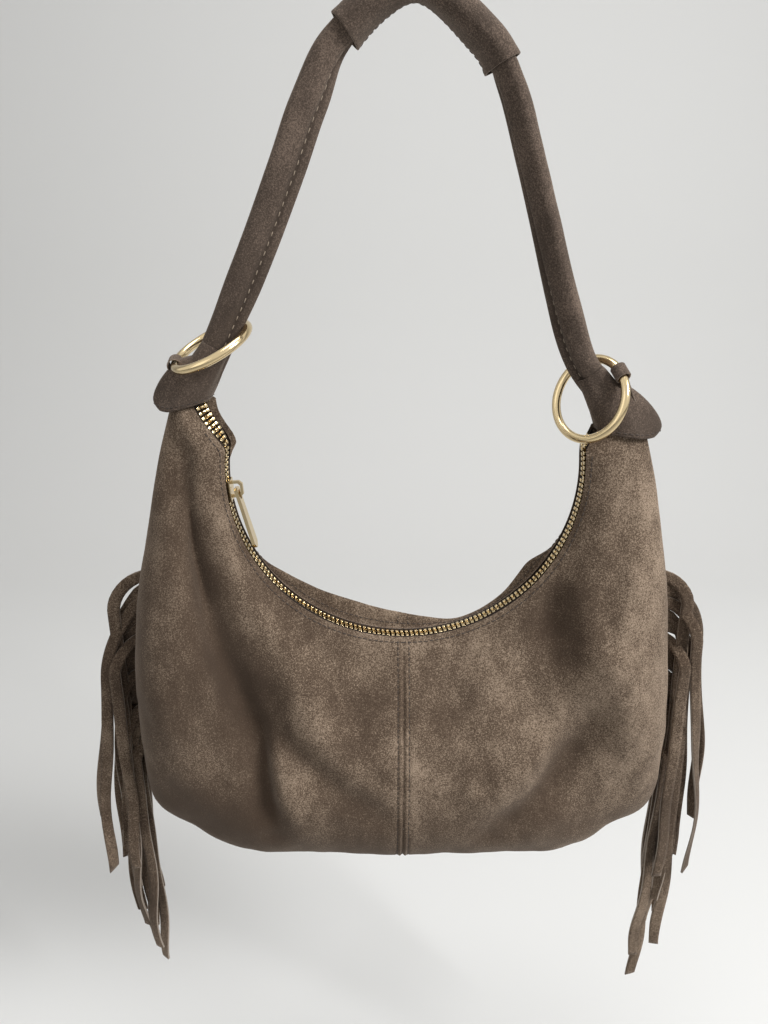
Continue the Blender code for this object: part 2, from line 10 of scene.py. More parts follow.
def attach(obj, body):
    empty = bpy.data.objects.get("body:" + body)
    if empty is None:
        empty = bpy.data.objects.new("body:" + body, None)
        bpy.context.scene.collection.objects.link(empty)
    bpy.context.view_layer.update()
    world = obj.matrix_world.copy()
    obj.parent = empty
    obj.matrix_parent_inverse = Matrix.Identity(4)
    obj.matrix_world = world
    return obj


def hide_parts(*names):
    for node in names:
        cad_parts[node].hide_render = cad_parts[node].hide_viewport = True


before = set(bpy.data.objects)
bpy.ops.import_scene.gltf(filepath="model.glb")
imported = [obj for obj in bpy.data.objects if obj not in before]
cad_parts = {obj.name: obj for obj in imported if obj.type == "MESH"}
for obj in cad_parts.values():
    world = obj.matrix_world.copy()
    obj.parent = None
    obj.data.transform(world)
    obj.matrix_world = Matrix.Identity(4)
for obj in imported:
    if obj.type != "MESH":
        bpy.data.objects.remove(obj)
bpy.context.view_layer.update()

bl_info = {
    "name": "Fringed suede bag",
    "version": (1, 0, 0),
    "blender": (4, 5, 0),
    "location": "3D View > Sidebar > Bag",
    "description": "Dresses a fringed suede shoulder bag: hide, seams, zip, rings, strap and fringe",
    "category": "Object",
}

# Shape of the bag, in metres and degrees, close to the solids' own values
# The zip's arc, the body's outline, and the two horns where they end
ZIP_R, ZIP_Z = 0.104, -0.233
BELLY_X, BELLY_Z, BOTTOM_Z = 0.169, -0.415, -0.494
CORNER_POWER = 5.0
HORN_ANGLE = {-1: 23.0, 1: 16.0}
HORN_OUT_R, HORN_SWELL, HORN_PINCH = 0.139, 0.9, -0.0012
# Where each hide edge lies beside the zip's line: degrees above the horizontal, metres outwards
EDGE_LOW = {
    -1: ((-90, -0.0036), (-74, -0.0034), (-56, -0.0030), (-33, -0.0028), (-5, -0.0020), (9, -0.0016)),
    1: ((-90, 0.0005), (-56, 0.0002), (-20, -0.0010), (9, -0.0016)),
}
EDGE_HIGH = {
    (-1, -1): ((9, 0), (14, 0.0012), (20, 0.0030), (25, 0.0034)),
    (-1, 1): ((9, 0), (14, -0.0012), (20, -0.0026), (25, -0.0030)),
    (1, -1): ((9, 0), (14, 0.0006), (25, 0.0006)),
    (1, 1): ((9, 0), (25, -0.0012)),
}
# Above its round part the zip leans out with the horn: degrees above the horizontal, metres
LEAN_OUT = {
    -1: ((-90, 0), (10, 0), (14, 0.0056), (17, 0.0120), (20, 0.0178), (25, 0.0235)),
    1: ((-90, 0), (10, 0), (14, 0.0048), (19, 0.0112), (25, 0.0175)),
}
ZIP_TURN = {-1: 48.0, 1: 0.0}
HORN_INNER = {-1: 0.1190, 1: 0.1125}
# How far the back's edge puffs up behind the zip: degrees round the arc from its bottom, metres
PUFF = ((-113, 0.0066), (-104, 0.0060), (-98, 0.0024), (-91, 0), (-74, 0), (-60, 0.0045), (-48, 0.0128),
        (-37, 0.0180), (-21, 0.0205), (-4, 0.0180), (8, 0.0130), (21, 0.0070), (38, 0.0100), (52, 0.0125),
        (64, 0.0040), (78, 0), (106, 0))
# Places where the hide is drawn aside in its own plane: (x, z), reach, (x, z) shift
DRAWN = (((-0.152, -0.482), 0.020, (0.0085, 0.0045)), ((0.152, -0.482), 0.020, (-0.0085, 0.0045)))
# Small waves of the hide: scale along x and z, sample depth, height, octaves
WAVES = ((26, 22, 3.1, 0.0013, 3), (85, 70, 7.3, 0.0003, 2))
# Relief beside the centre seam: distance from it, width, height; the second is the groove of the stitches
STITCH_AWAY = 0.0034
SEAM_RELIEF = ((0, 0.0008, -0.0007), (STITCH_AWAY, 0.0007, -0.00055), (0.0019, 0.0009, 0.00055))
# Depth of one face of the body from the centre seam to the horn's tip, and how far down it is deepest
DEPTH = ((0.0, 0.045), (0.2, 0.043), (0.34, 0.031), (0.5, 0.036), (0.7, 0.024), (0.85, 0.012), (1.0, 0.0045))
DEEPEST = ((0.0, 0.70), (0.34, 0.66), (0.7, 0.55), (1.0, 0.50))
# Half widths of the mouth, the hide's thickness, clearances, and where the teeth end above the horizontal
MOUTH_HALF, MOUTH_HORN, MOUTH_TIP = 0.0088, 0.0082, 0.0054
SUEDE, SEAM_LIFT, GAP, SEAM_GAP = 0.0016, 0.0006, 0.0003, 0.00002
TEETH_END = {-1: 22.3, 1: 13.0}
TOOTH_PITCH = 0.0030
# The strap's line from the left band over the sleeve to the right one: x, z, degrees that it is turned
STRAP_LINE = ((-0.1135, -0.1735, 0.0), (-0.096, -0.140, 0.0), (-0.079, -0.105, 4.0), (-0.063, -0.069, 10.0),
              (-0.0505, -0.040, 25.0), (-0.034, -0.0135, 60.0), (0.002, 0.0083, 90.0), (0.036, -0.0135, 80.0),
              (0.049, -0.034, 65.0), (0.0585, -0.060, 60.0), (0.070, -0.095, 55.0), (0.082, -0.132, 45.0),
              (0.0955, -0.166, 20.0), (0.1135, -0.1870, 0.0))
STRAP_WIDE, STRAP_THICK, STRAP_SLIM = 0.0192, 0.0108, 0.12
WRAP_FROM, WRAP_TO = 0.405, 0.607
# Bands, rings and their loops
BAND_DOWN = 0.008
BAND_SKEW = {-1: 0.72, 1: 0.42}
RING_R, RING_WIRE = 0.0225, 0.0025
RINGS = {
    -1: {"centre": (-0.1058, 0.0, -0.158), "long": (0.906, 0.0, 0.423), "lean": (-0.12, 0.97, 0.20)},
    1: {"centre": (0.1025, 0.0, -0.187), "long": (0.366, 0.0, 0.930), "lean": (-0.54, 0.82, 0.21)},
}
LOOP_ROUND = {-1: 0.0, 1: 28.0}
# Fringe: its top, its strips as they are cut, and its uncut head
FRINGE_TOP, FRINGE_STRIPS = -0.292, 17
STRIP_WIDE, STRIP_CUT, STRIP_LONG, STRIP_THICK = 0.0072, 0.0014, 0.205, 0.0014
STRIP_CUTS = (1.0, 0.94, 1.04, 0.97, 1.02, 0.92, 1.0)
STRIP_SHORTER = {-1: 0.13, 1: 0.05}
HEAD_IN, HEAD_OUT = 0.006, 0.002

# How each strip hangs, from the top one down: distance out, flare, layer
STRIPS = ((0.1800, 0.004, -0.004), (0.1925, 0.018, 0.006), (0.1870, 0.016, -0.009),
          (0.1840, 0.010, 0.002), (0.1900, 0.012, 0.010), (0.1810, 0.003, -0.012),
          (0.1845, 0.008, -0.002), (0.1875, 0.010, 0.006), (0.1820, 0.006, -0.006),
          (0.1860, 0.006, 0.001), (0.1800, 0.004, 0.009), (0.1840, 0.006, -0.009),
          (0.1790, 0.002, -0.003), (0.1820, 0.004, 0.004), (0.1775, 0.000, -0.007),
          (0.1810, 0.003, 0.008), (0.1780, 0.000, 0.000))

FLOOR_Z = -0.80
# Lamps: name, place, aim, watts, size
LAMPS = (("key", (1.35, -0.85, 0.85), (0, 0, -0.33), 38.0, 0.6),
         ("fill", (-1.2, -1.2, 0.3), (0, 0, -0.3), 3.0, 1.2),
         ("top", (0.0, -0.1, 1.3), (0, 0, -0.3), 12.0, 0.9))
# The photograph's view: place, degrees from straight down, and its focal length and height in pixels
CAMERA_AT, CAMERA_TILT, FOCAL_PX, PHOTO_PX = (-0.012, -0.41, -0.097), 69.0, 745.0, 1024.0

SIDES = {-1: "left", 1: "right"}
FACES = {-1: "front", 1: "back"}

# Folds of the hide seen from the front: path of (x, z), width, depth; a negative depth is a valley
FOLDS = {
    -1: (
        (((-0.1255, -0.215), (-0.1225, -0.250), (-0.119, -0.264), (-0.1146, -0.287), (-0.1093, -0.3175),
          (-0.103, -0.350), (-0.0957, -0.382), (-0.090, -0.408), (-0.0848, -0.4354)), 0.0095, -0.0085),
        (((-0.1215, -0.250), (-0.115, -0.286), (-0.112, -0.305)), 0.004, -0.0030),
        (((-0.1096, -0.248), (-0.0903, -0.299), (-0.0746, -0.336), (-0.0533, -0.382), (-0.0368, -0.409)),
         0.013, 0.0045),
        (((-0.085, -0.365), (-0.0819, -0.3835), (-0.062, -0.403), (-0.035, -0.423), (-0.0145, -0.4405)),
         0.010, -0.0045),
        (((-0.078, -0.415), (-0.060, -0.445)), 0.012, 0.003),
        (((-0.099, -0.372), (-0.0925, -0.400), (-0.087, -0.430), (-0.082, -0.455)), 0.009, -0.0045),
        (((-0.146, -0.290), (-0.143, -0.350), (-0.132, -0.410), (-0.112, -0.455)), 0.017, 0.0035),
        (((0.082, -0.290), (0.0872, -0.3104), (0.0925, -0.335)), 0.0115, -0.0064),
        (((0.1156, -0.3375), (0.0915, -0.377), (0.073, -0.404), (0.050, -0.425)), 0.012, 0.0048),
        (((0.1164, -0.381), (0.0929, -0.424), (0.0566, -0.4533)), 0.011, -0.0048),
        (((0.0376, -0.352), (0.0236, -0.395)), 0.016, -0.0032),
        (((0.122, -0.230), (0.124, -0.270), (0.118, -0.310)), 0.010, -0.0030),
    ),
    1: (
        (((-0.110, -0.240), (-0.090, -0.310), (-0.070, -0.390)), 0.012, -0.0055),
        (((0.108, -0.260), (0.098, -0.320), (0.075, -0.390)), 0.012, -0.0055),
        (((-0.140, -0.330), (-0.090, -0.370), (-0.030, -0.410)), 0.016, 0.0034),
        (((0.140, -0.350), (0.080, -0.390), (0.030, -0.430)), 0.014, -0.0034),
    ),
}


def ease(x):
    x = min(max(x, 0.0), 1.0)
    return x * x * (3 - 2 * x)


def squared(x, power):
    """A cosine or sine bent so that the round it draws grows squarer."""
    return math.copysign(abs(x) ** power, x)


def smooth(stations, x):
    """Value between stations on a curve that passes through them without overshoot."""
    xs = [s[0] for s in stations]
    ys = [s[1] for s in stations]
    x = min(max(x, xs[0]), xs[-1])
    k = max(i for i in range(len(xs) - 1) if xs[i] <= x)
    h = xs[k + 1] - xs[k]
    t = (x - xs[k]) / h

    def slope(i):
        if i == 0:
            return 0.0
        a = (ys[i] - ys[i - 1]) / (xs[i] - xs[i - 1])
        if i == len(xs) - 1:
            return a
        b = (ys[i + 1] - ys[i]) / (xs[i + 1] - xs[i])
        return 0.0 if a * b <= 0 else 2 * a * b / (a + b)

    m0, m1 = slope(k) * h, slope(k + 1) * h
    return ((2 * t**3 - 3 * t**2 + 1) * ys[k] + (t**3 - 2 * t**2 + t) * m0
            + (3 * t**2 - 2 * t**3) * ys[k + 1] + (t**3 - t**2) * m1)


def between(xs, ys, x):
    """Straight-line value of ys at x, with xs rising."""
    x = min(max(x, xs[0]), xs[-1])
    k = min(bisect.bisect_right(xs, x), len(xs) - 1)
    return ys[k - 1] + (ys[k] - ys[k - 1]) * (x - xs[k - 1]) / (xs[k] - xs[k - 1])


def spaced(low, high, count):
    """Evenly spaced values, both ends included."""
    return [low + (high - low) * k / (count - 1) for k in range(count)]


def facing(normal, face):
    """The normal at length 1, turned so that it looks to the front or to the back."""
    normal = normal.normalized()
    return -normal if normal.y * face < 0 else normal


# ---- hide surface

def horn_end(side):
    return math.radians(HORN_ANGLE[side])


def polar(side, angle, radius, y=0.0):
    return Vector((side * radius * math.cos(angle), y, ZIP_Z + radius * math.sin(angle)))


def mouth_angle(side, share):
    return -math.pi / 2 + share * (math.pi / 2 + horn_end(side))


def mouth_half(share):
    return (MOUTH_HALF - (MOUTH_HALF - MOUTH_HORN) * ease((share - 0.5) / 0.3)
            - (MOUTH_HORN - MOUTH_TIP) * ease((share - 0.91) / 0.09))


def edge_radius(side, face, angle):
    above = math.degrees(angle)
    beside = smooth(EDGE_LOW[face], above) + smooth(EDGE_HIGH[side, face], above)
    return ZIP_R + smooth(LEAN_OUT[side], above) + beside


OUTLINES = {}


def outline_table(side):
    if side not in OUTLINES:
        tip = polar(1, horn_end(side), HORN_OUT_R)
        xs, zs = [], []
        for k in range(121):
            a = math.pi / 2 * k / 120
            xs.append(BELLY_X * math.sin(a) ** (2 / CORNER_POWER))
            zs.append(BELLY_Z - (BELLY_Z - BOTTOM_Z) * max(math.cos(a), 0.0) ** (2 / CORNER_POWER))
        for k in range(1, 121):
            w = k / 120
            xs.append(tip.x + (BELLY_X - tip.x) * max(math.cos(math.pi / 2 * w), 0.0) ** HORN_SWELL)
            zs.append(BELLY_Z + (tip.z - BELLY_Z) * w)
        run = [0.0]
        for k in range(1, len(xs)):
            run.append(run[-1] + math.hypot(xs[k] - xs[k - 1], zs[k] - zs[k - 1]))
        OUTLINES[side] = (xs, zs, [r / run[-1] for r in run])
    return OUTLINES[side]


def outline(side, share):
    xs, zs, run = outline_table(side)
    return Vector((side * between(run, xs, share), 0.0, between(run, zs, share)))


def seam_x(z):
    xs, zs, _ = outline_table(1)
    return between(zs[100:], xs[100:], z)


def fringe_window(z):
    low = FRINGE_TOP - FRINGE_STRIPS * (STRIP_WIDE + STRIP_CUT)
    return ease((FRINGE_TOP + 0.022 - z) / 0.016) * ease((z - low + 0.022) / 0.016)


def wall(side, face, share, down):
    """The hide's outer surface before its folds."""
    angle = mouth_angle(side, share)
    top = polar(side, angle, edge_radius(side, face, angle))
    low = outline(side, share)
    deep_at = smooth(DEEPEST, share)
    if down < 0.5:
        t = deep_at * (down / 0.5)
        rise = math.sin(math.pi / 2 * down / 0.5)
    else:
        a = math.pi / 2 * (down - 0.5) / 0.5
        t = deep_at + (1 - deep_at) * math.sin(a) ** 0.9
        rise = max(math.cos(a), 0.0) ** 0.85
    point = top.lerp(low, t)
    seam = SEAM_LIFT + GAP / 2 + (STRIP_THICK / 2 + GAP / 2) * fringe_window(low.z)
    point.y = face * (mouth_half(share) * (1 - t) + seam * t + smooth(DEPTH, share) * rise)
    point.x += side * SEAM_GAP * (1 - ease(share * 4))
    across = Vector((side * math.cos(horn_end(side)), 0, math.sin(horn_end(side))))
    return point - across * HORN_PINCH * ease((share - 0.9) / 0.08) * math.cos(math.pi * t)


def fold_depth(face, x, z):
    """How far the folds raise or sink the hide here."""
    total = 0.0
    here = Vector((x, z))
    for path, width, depth in FOLDS[face]:
        best, along = 1e9, 0.0
        pieces = len(path) - 1
        for k in range(pieces):
            a, b = Vector(path[k]), Vector(path[k + 1])
            line = b - a
            t = min(max((here - a).dot(line) / line.length_squared, 0.0), 1.0)
            gap = (here - a - line * t).length
            if gap < best:
                best, along = gap, (k + t) / pieces
        if best < 3.2 * width:
            fade = 0.35 + 0.65 * math.sin(math.pi * min(max(along, 0.04), 0.96)) ** 0.7
            total += depth * fade * math.exp(-(best / width) ** 2)
    return total


def hide(side, face, share, down):
    """The hide's outer surface with folds, small waves and the pull of its seams, and its painted light and
    shade.
    """
    point = wall(side, face, share, down)
    step = 0.006
    a = wall(side, face, min(share + step, 1), down) - wall(side, face, max(share - step, 0), down)
    b = wall(side, face, share, min(down + step, 1)) - wall(side, face, share, max(down - step, 0))
    normal = facing(a.cross(b), face)
    edge = ease(down / 0.10) * ease((1 - down) / 0.16) * ease((1 - share) / 0.10)
    lift = 1.25 * fold_depth(face, point.x, point.z) * edge
    # Painted light on the folds' ridges and painted shade in their valleys, from the folds' depth
    painted_tone = min(max(lift / 0.009, -1.0), 1.0)
    for across, up, deep, height, octaves in WAVES:
        sample = Vector((point.x * across, face * deep, point.z * up))
        lift += height * noise.fractal(sample, 1.0, 2.0, octaves) * edge
    away = abs(point.x)
    ends = ease((1 - down) / 0.05) * ease(down / 0.12)
    for middle, width, height in SEAM_RELIEF:
        lift += height * math.exp(-((away - middle) / width) ** 2) * ends
    # Painted highlight on the raised band beside the centre seam
    painted_tone += 0.5 * math.exp(-((away - 0.0055) / 0.0055) ** 2) * ends
    if face > 0:
        turn = side * (90 + math.degrees(mouth_angle(side, share)))
        puff = smooth(PUFF, turn) * ease(down / 0.035) * (1 - ease((down - 0.03) / 0.30))
        point += Vector((-point.x, 0, ZIP_Z - point.z)).normalized() * puff
    # Painted light on the right of the face and painted shade on its lower left
    left_low_painted_shade = ease((-point.x - 0.045) / 0.075) * ease((-0.19 - point.z) / 0.11)
    painted_tone += 0.55 * ease((point.x - 0.085) / 0.05) - 0.85 * left_low_painted_shade
    # Painted shade, darker towards the bottom
    painted_tone = max(painted_tone - 0.95 * ease((-0.410 - point.z) / 0.055), -1.5)
    for (x, z), reach, (dx, dz) in DRAWN:
        near = math.exp(-(((point.x - x) ** 2 + (point.z - z) ** 2) / reach ** 2))
        point += Vector((dx, 0, dz)) * near
    return point + normal * lift, normal, painted_tone


# ---- mesh helpers

def link(obj):
    bpy.context.scene.collection.objects.link(obj)
    return obj


def mesh_object(name, verts, faces, mats):
    mesh = bpy.data.meshes.new(name)
    mesh.from_pydata(verts, [], faces)
    for mat in mats:
        mesh.materials.append(mat)
    return link(bpy.data.objects.new(name, mesh))


def grid_object(name, columns, rows, place, mats, flip=False, close=False):
    """A sheet laid out by place(column share, row share)."""
    count = columns if close else columns + 1
    verts = [place(i / columns, j / rows) for i in range(count) for j in range(rows + 1)]
    faces = []
    for i in range(columns):
        for j in range(rows):
            a, b = i * (rows + 1) + j, ((i + 1) % count) * (rows + 1) + j
            quad = (a, b, b + 1, a + 1)
            faces.append(quad[::-1] if flip else quad)
    obj = mesh_object(name, verts, faces, mats)
    mesh = obj.data
    uv = mesh.uv_layers.new(name="UVMap")
    for poly in mesh.polygons:
        for loop in poly.loop_indices:
            i, j = divmod(mesh.loops[loop].vertex_index, rows + 1)
            if close and i == 0 and poly.index // rows == columns - 1:
                i = columns
            uv.data[loop].uv = (i / columns, j / rows)
    return obj


def face_out(obj, direction):
    """Turns the faces so that they look along direction(centre)."""
    total = sum(poly.normal.dot(direction(poly.center)) * poly.area for poly in obj.data.polygons)
    if total < 0:
        obj.data.flip_normals()


def by_depth(centre):
    return Vector((0.0, centre.y, 0.0))


def shade(obj):
    for poly in obj.data.polygons:
        poly.use_smooth = True


def mend(mesh, join=0.0, close=False, outward=True):
    """Joins points that meet, closes open rims and turns the faces outward, as asked."""
    bm = bmesh.new()
    bm.from_mesh(mesh)
    if join:
        bmesh.ops.remove_doubles(bm, verts=bm.verts, dist=join)
    if close:
        bmesh.ops.holes_fill(bm, edges=[e for e in bm.edges if e.is_boundary])
    if outward:
        bmesh.ops.recalc_face_normals(bm, faces=bm.faces)
    bm.to_mesh(mesh)
    bm.free()


def paint_light_and_shade(obj, painted_tones):
    """Stores each point's painted light and shade, from -1 for painted shade to 1 for painted light."""
    obj.data.attributes.new("PaintedLightAndShade", "FLOAT", "POINT").data.foreach_set("value", painted_tones)


def evaluated(obj):
    """A mesh of what the object's modifiers make."""
    graph = bpy.context.evaluated_depsgraph_get()
    return bpy.data.meshes.new_from_object(obj.evaluated_get(graph))


def thicken(obj, amount, offset=-1.0, rim=0, bevel=0.0, even=True):
    solid = obj.modifiers.new("Thickness", "SOLIDIFY")
    solid.thickness = amount
    solid.offset = offset
    solid.use_even_offset = even
    solid.thickness_clamp = 1.0
    solid.material_offset_rim = rim
    if bevel:
        cut = obj.modifiers.new("Edge", "BEVEL")
        cut.width = bevel
        cut.segments = 2
        cut.limit_method = "ANGLE"
        cut.angle_limit = math.radians(50)
    mesh = evaluated(obj)
    obj.modifiers.clear()
    obj.data = mesh
    shade(obj)


def place_piece(obj, body, slot, *nodes):
    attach(obj, body)
    if nodes:
        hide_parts(*nodes)


# ---- shader maths

def feed(tree, slot, item):
    """Links a Value to the slot, or sets the slot to a plain value."""
    if isinstance(item, Value):
        tree.links.new(item.socket, slot)
    else:
        slot.default_value = item


class Value:
    """A socket that takes part in sums, so a material's maths reads as written."""

    def __init__(self, tree, socket):
        self.tree, self.socket = tree, socket

    def _math(self, operation, *items, clamp=False):
        node = self.tree.nodes.new("ShaderNodeMath")
        node.operation = operation
        node.use_clamp = clamp
        for slot, item in zip(node.inputs, (self, *items)):
            feed(self.tree, slot, item)
        return Value(self.tree, node.outputs[0])

    def clamp(self):
        return self._math("ADD", 0.0, clamp=True)

    def sine(self):
        return self._math("SINE")

    def __add__(self, other):
        return self._math("ADD", other)

    def __sub__(self, other):
        return self._math("SUBTRACT", other)

    def __mul__(self, other):
        return self._math("MULTIPLY", other)


class Finish:
    """A Principled material under construction."""

    def __init__(self, name, **inputs):
        self.mat = bpy.data.materials.new(name)
        self.mat.use_nodes = True
        self.tree = self.mat.node_tree
        self.shader = self.tree.nodes["Principled BSDF"]
        self.put(**inputs)
        self.place = self.node("TexCoord")

    def put(self, **inputs):
        """Feeds the shader's inputs, named with _ for each space."""
        for name, item in inputs.items():
            feed(self.tree, self.shader.inputs[name.replace("_", " ")], item)

    def node(self, kind, **inputs):
        node = self.tree.nodes.new("ShaderNode" + kind)
        for name, item in inputs.items():
            feed(self.tree, node.inputs[name], item)
        return node

    def value(self, node, output):
        return Value(self.tree, node.outputs[output])

    def noise(self, scale, detail, rough, stretch=(1, 1, 1)):
        turn = self.node("Mapping", Scale=stretch, Vector=self.value(self.place, "Object"))
        return self.value(self.node("TexNoise", Scale=scale, Detail=detail, Roughness=rough,
                                    Vector=self.value(turn, "Vector")), "Fac")

    def attribute(self, name):
        node = self.node("Attribute")
        node.attribute_name = name
        return self.value(node, "Fac")

    def axis(self, coord, k):
        return self.value(self.node("SeparateXYZ", Vector=self.value(self.place, coord)), k)

    def mix(self, factor, a, b):
        node = self.node("Mix")
        node.data_type = "RGBA"
        for k, item in ((0, factor), (6, a), (7, b)):
            feed(self.tree, node.inputs[k], item if isinstance(item, Value) else (*item, 1.0))
        return self.value(node, 2)

    def bump(self, height, distance, strength):
        node = self.node("Bump", Distance=distance, Strength=strength, Height=height)
        self.put(Normal=self.value(node, "Normal"))


def suede(name, mid, light, dark, contrast=1.0, nap=1.0):
    """Napped hide: clouds where the nap lies one way or the other, a fine salt-and-pepper grain and fuzz, and
    painted light and shade from its points.
    """
    fin = Finish(name, Roughness=0.96, Specular_IOR_Level=0.18, Sheen_Weight=0.22, Sheen_Roughness=0.45,
                 Sheen_Tint=(0.72, 0.62, 0.52, 1.0))
    clouds = fin.noise(13.0, 2.5, 0.5)
    strokes = fin.noise(95.0, 4.0, 0.6, (1.0, 1.0, 0.55))
    grain = fin.noise(1150.0, 2.0, 0.6)
    speck = fin.noise(2500.0, 1.0, 0.5)
    # Painted light and shade of the folds, seam and sides, read from the points
    painted_light_shade = fin.attribute("PaintedLightAndShade")
    lighter = ((clouds - 0.50) * 1.35 * contrast + (strokes - 0.5) * 0.9 * contrast + painted_light_shade * 0.26
               + (grain - 0.5) * 1.8 * contrast + (speck - 0.5) * 1.5 * contrast + 0.46).clamp()
    low = fin.mix(lighter, dark, mid)
    top = fin.mix(((lighter - 0.45) * 1.8).clamp(), low, light)
    # Painted shade: where that value is below zero the colour goes down towards the dark colour
    fin.put(Base_Color=fin.mix((painted_light_shade * -0.42).clamp(), top, scaled(dark, 0.9)))
    fin.bump(grain * 0.55 + speck * 0.35 + strokes * 0.6, 0.0005 * nap, 0.55)
    return fin.mat


def gold(name, colour):
    fin = Finish(name, Metallic=1.0)
    wear = fin.noise(120.0, 3.0, 0.6)
    fin.put(Base_Color=fin.mix(wear, colour, scaled(colour, 0.86)), Roughness=(wear * 0.16 + 0.10).clamp())
    fin.bump(fin.noise(900.0, 2.0, 0.5), 0.00003, 0.3)
    return fin.mat


def woven(name, colour):
    fin = Finish(name, Roughness=0.95, Specular_IOR_Level=0.2)
    along, across = fin.axis("UV", 0), fin.axis("UV", 1)
    ribs = (along * 2400.0).sine() * 0.5 + (across * 95.0).sine() * 0.5
    fleck = fin.noise(900.0, 2.0, 0.6)
    fin.put(Base_Color=fin.mix((fleck + ribs * 0.15).clamp(), scaled(colour, 0.6), colour))
    fin.bump(ribs * 0.5 + fleck * 0.3, 0.0002, 0.6)
    return fin.mat


def plain_thread(name, colour):
    fin = Finish(name, Roughness=0.75)
    twist = fin.noise(2600.0, 1.0, 0.5)
    fin.put(Base_Color=fin.mix(twist, colour, scaled(colour, 0.65)))
    fin.bump(twist, 0.0001, 0.5)
    return fin.mat


# ---- geometry nodes

def follow_path(obj, unit, spacing, material, seed, jitter):
    """Puts copies of a unit mesh along the object's curves, turned along them."""
    tree = bpy.data.node_groups.new("Row along a path", "GeometryNodeTree")
    for label, way, kind in (("Geometry", "INPUT", "Geometry"), ("Spacing", "INPUT", "Float"),
                             ("Wobble", "INPUT", "Float"), ("Geometry", "OUTPUT", "Geometry")):
        tree.interface.new_socket(label, in_out=way, socket_type="NodeSocket" + kind)
    start, end, points, source, put, shake, spread, turn, real, paint = (tree.nodes.new(kind) for kind in (
        "NodeGroupInput", "NodeGroupOutput", "GeometryNodeCurveToPoints", "GeometryNodeObjectInfo",
        "GeometryNodeInstanceOnPoints", "FunctionNodeRandomValue", "ShaderNodeVectorMath",
        "GeometryNodeRotateInstances", "GeometryNodeRealizeInstances", "GeometryNodeSetMaterial"))
    points.mode = "LENGTH"
    source.inputs["Object"].default_value = unit
    source.inputs["As Instance"].default_value = True
    shake.data_type = "FLOAT_VECTOR"
    shake.inputs["Seed"].default_value = seed
    shake.inputs[0].default_value = (-1, -1, -1)
    shake.inputs[1].default_value = (1, 1, 1)
    spread.operation = "SCALE"
    paint.inputs["Material"].default_value = material
    for first, output, then, target in (
            (start, 0, points, "Curve"), (start, 1, points, "Length"), (points, "Points", put, "Points"),
            (points, "Rotation", put, "Rotation"), (source, "Geometry", put, "Instance"),
            (put, "Instances", turn, "Instances"), (shake, 0, spread, 0), (start, 2, spread, "Scale"),
            (spread, 0, turn, "Rotation"), (turn, "Instances", real, "Geometry"),
            (real, "Geometry", paint, "Geometry"), (paint, "Geometry", end, 0)):
        tree.links.new(first.outputs[output], then.inputs[target])
    mod = obj.modifiers.new("Row", "NODES")
    mod.node_group = tree
    named = {item.name: item.identifier for item in tree.interface.items_tree if item.in_out == "INPUT"}
    mod[named["Spacing"]] = spacing
    mod[named["Wobble"]] = jitter


def run_of(name, paths, unit, spacing, material, seed=0, jitter=0.0, tilts=None):
    """One mesh object with a row of units along each path."""
    curve = bpy.data.curves.new(name, "CURVE")
    curve.dimensions = "3D"
    curve.twist_mode = "Z_UP"
    for path in paths:
        line = curve.splines.new("POLY")
        line.points.add(len(path) - 1)
        for point, co, tilt in zip(line.points, path, tilts or [0.0] * len(path)):
            point.co = (*co, 1.0)
            point.tilt = tilt
    holder = link(bpy.data.objects.new(name + "_path", curve))
    follow_path(holder, link(unit), spacing, material, seed, jitter)
    obj = link(bpy.data.objects.new(name, evaluated(holder)))
    for spent in (holder, unit):
        bpy.data.objects.remove(spent, do_unlink=True)
    shade(obj)
    return obj


def stitch_unit(length, radius):
    """A short thread with rounded ends, lying along Z, the path's own direction."""
    bm = bmesh.new()
    rings = []
    turns = [math.pi * k / 3 for k in range(6)]
    for t, share in ((-0.5, 0.35), (-0.36, 0.9), (0.0, 1.0), (0.36, 0.9), (0.5, 0.35)):
        r = radius * share
        rings.append([bm.verts.new((r * math.cos(a), r * math.sin(a), length * t)) for a in turns])
    for low, high in zip(rings, rings[1:]):
        for k in range(6):
            bm.faces.new((low[k], low[(k + 1) % 6], high[(k + 1) % 6], high[k]))
    bm.faces.new(rings[0][::-1])
    bm.faces.new(rings[-1])
    return unit_object("stitch_unit", bm)


def unit_object(name, bm):
    mesh = bpy.data.meshes.new(name)
    bm.to_mesh(mesh)
    bm.free()
    return bpy.data.objects.new(name, mesh)


def stitches(name, paths, thread, spacing=0.0033, length=0.0025, radius=0.00034, seed=1):
    obj = run_of(name, paths, stitch_unit(length, radius), spacing, thread, seed, 0.10)
    place_piece(obj, "bag", "zip_cloth")


# ---- settings

class BagHide(bpy.types.PropertyGroup):
    # The brushed and laid colours also give the painted light on the hide's ridges and lit right side and the
    # painted shade in its valleys, lower left and bottom
    mid: bpy.props.FloatVectorProperty(
        name="Middle colour", description="Suede with its nap at rest", subtype="COLOR",
        default=(0.168, 0.121, 0.084), min=0, max=1)
    light: bpy.props.FloatVectorProperty(
        name="Brushed colour", description="Suede brushed up", subtype="COLOR",
        default=(0.320, 0.243, 0.178), min=0, max=1)
    dark: bpy.props.FloatVectorProperty(
        name="Laid colour", description="Suede brushed down", subtype="COLOR",
        default=(0.062, 0.041, 0.028), min=0, max=1)
    columns: bpy.props.IntProperty(
        name="Columns", description="Mesh columns of one panel", default=120, min=20, max=300)
    rows: bpy.props.IntProperty(
        name="Rows", description="Mesh rows of one panel", default=84, min=20, max=300)


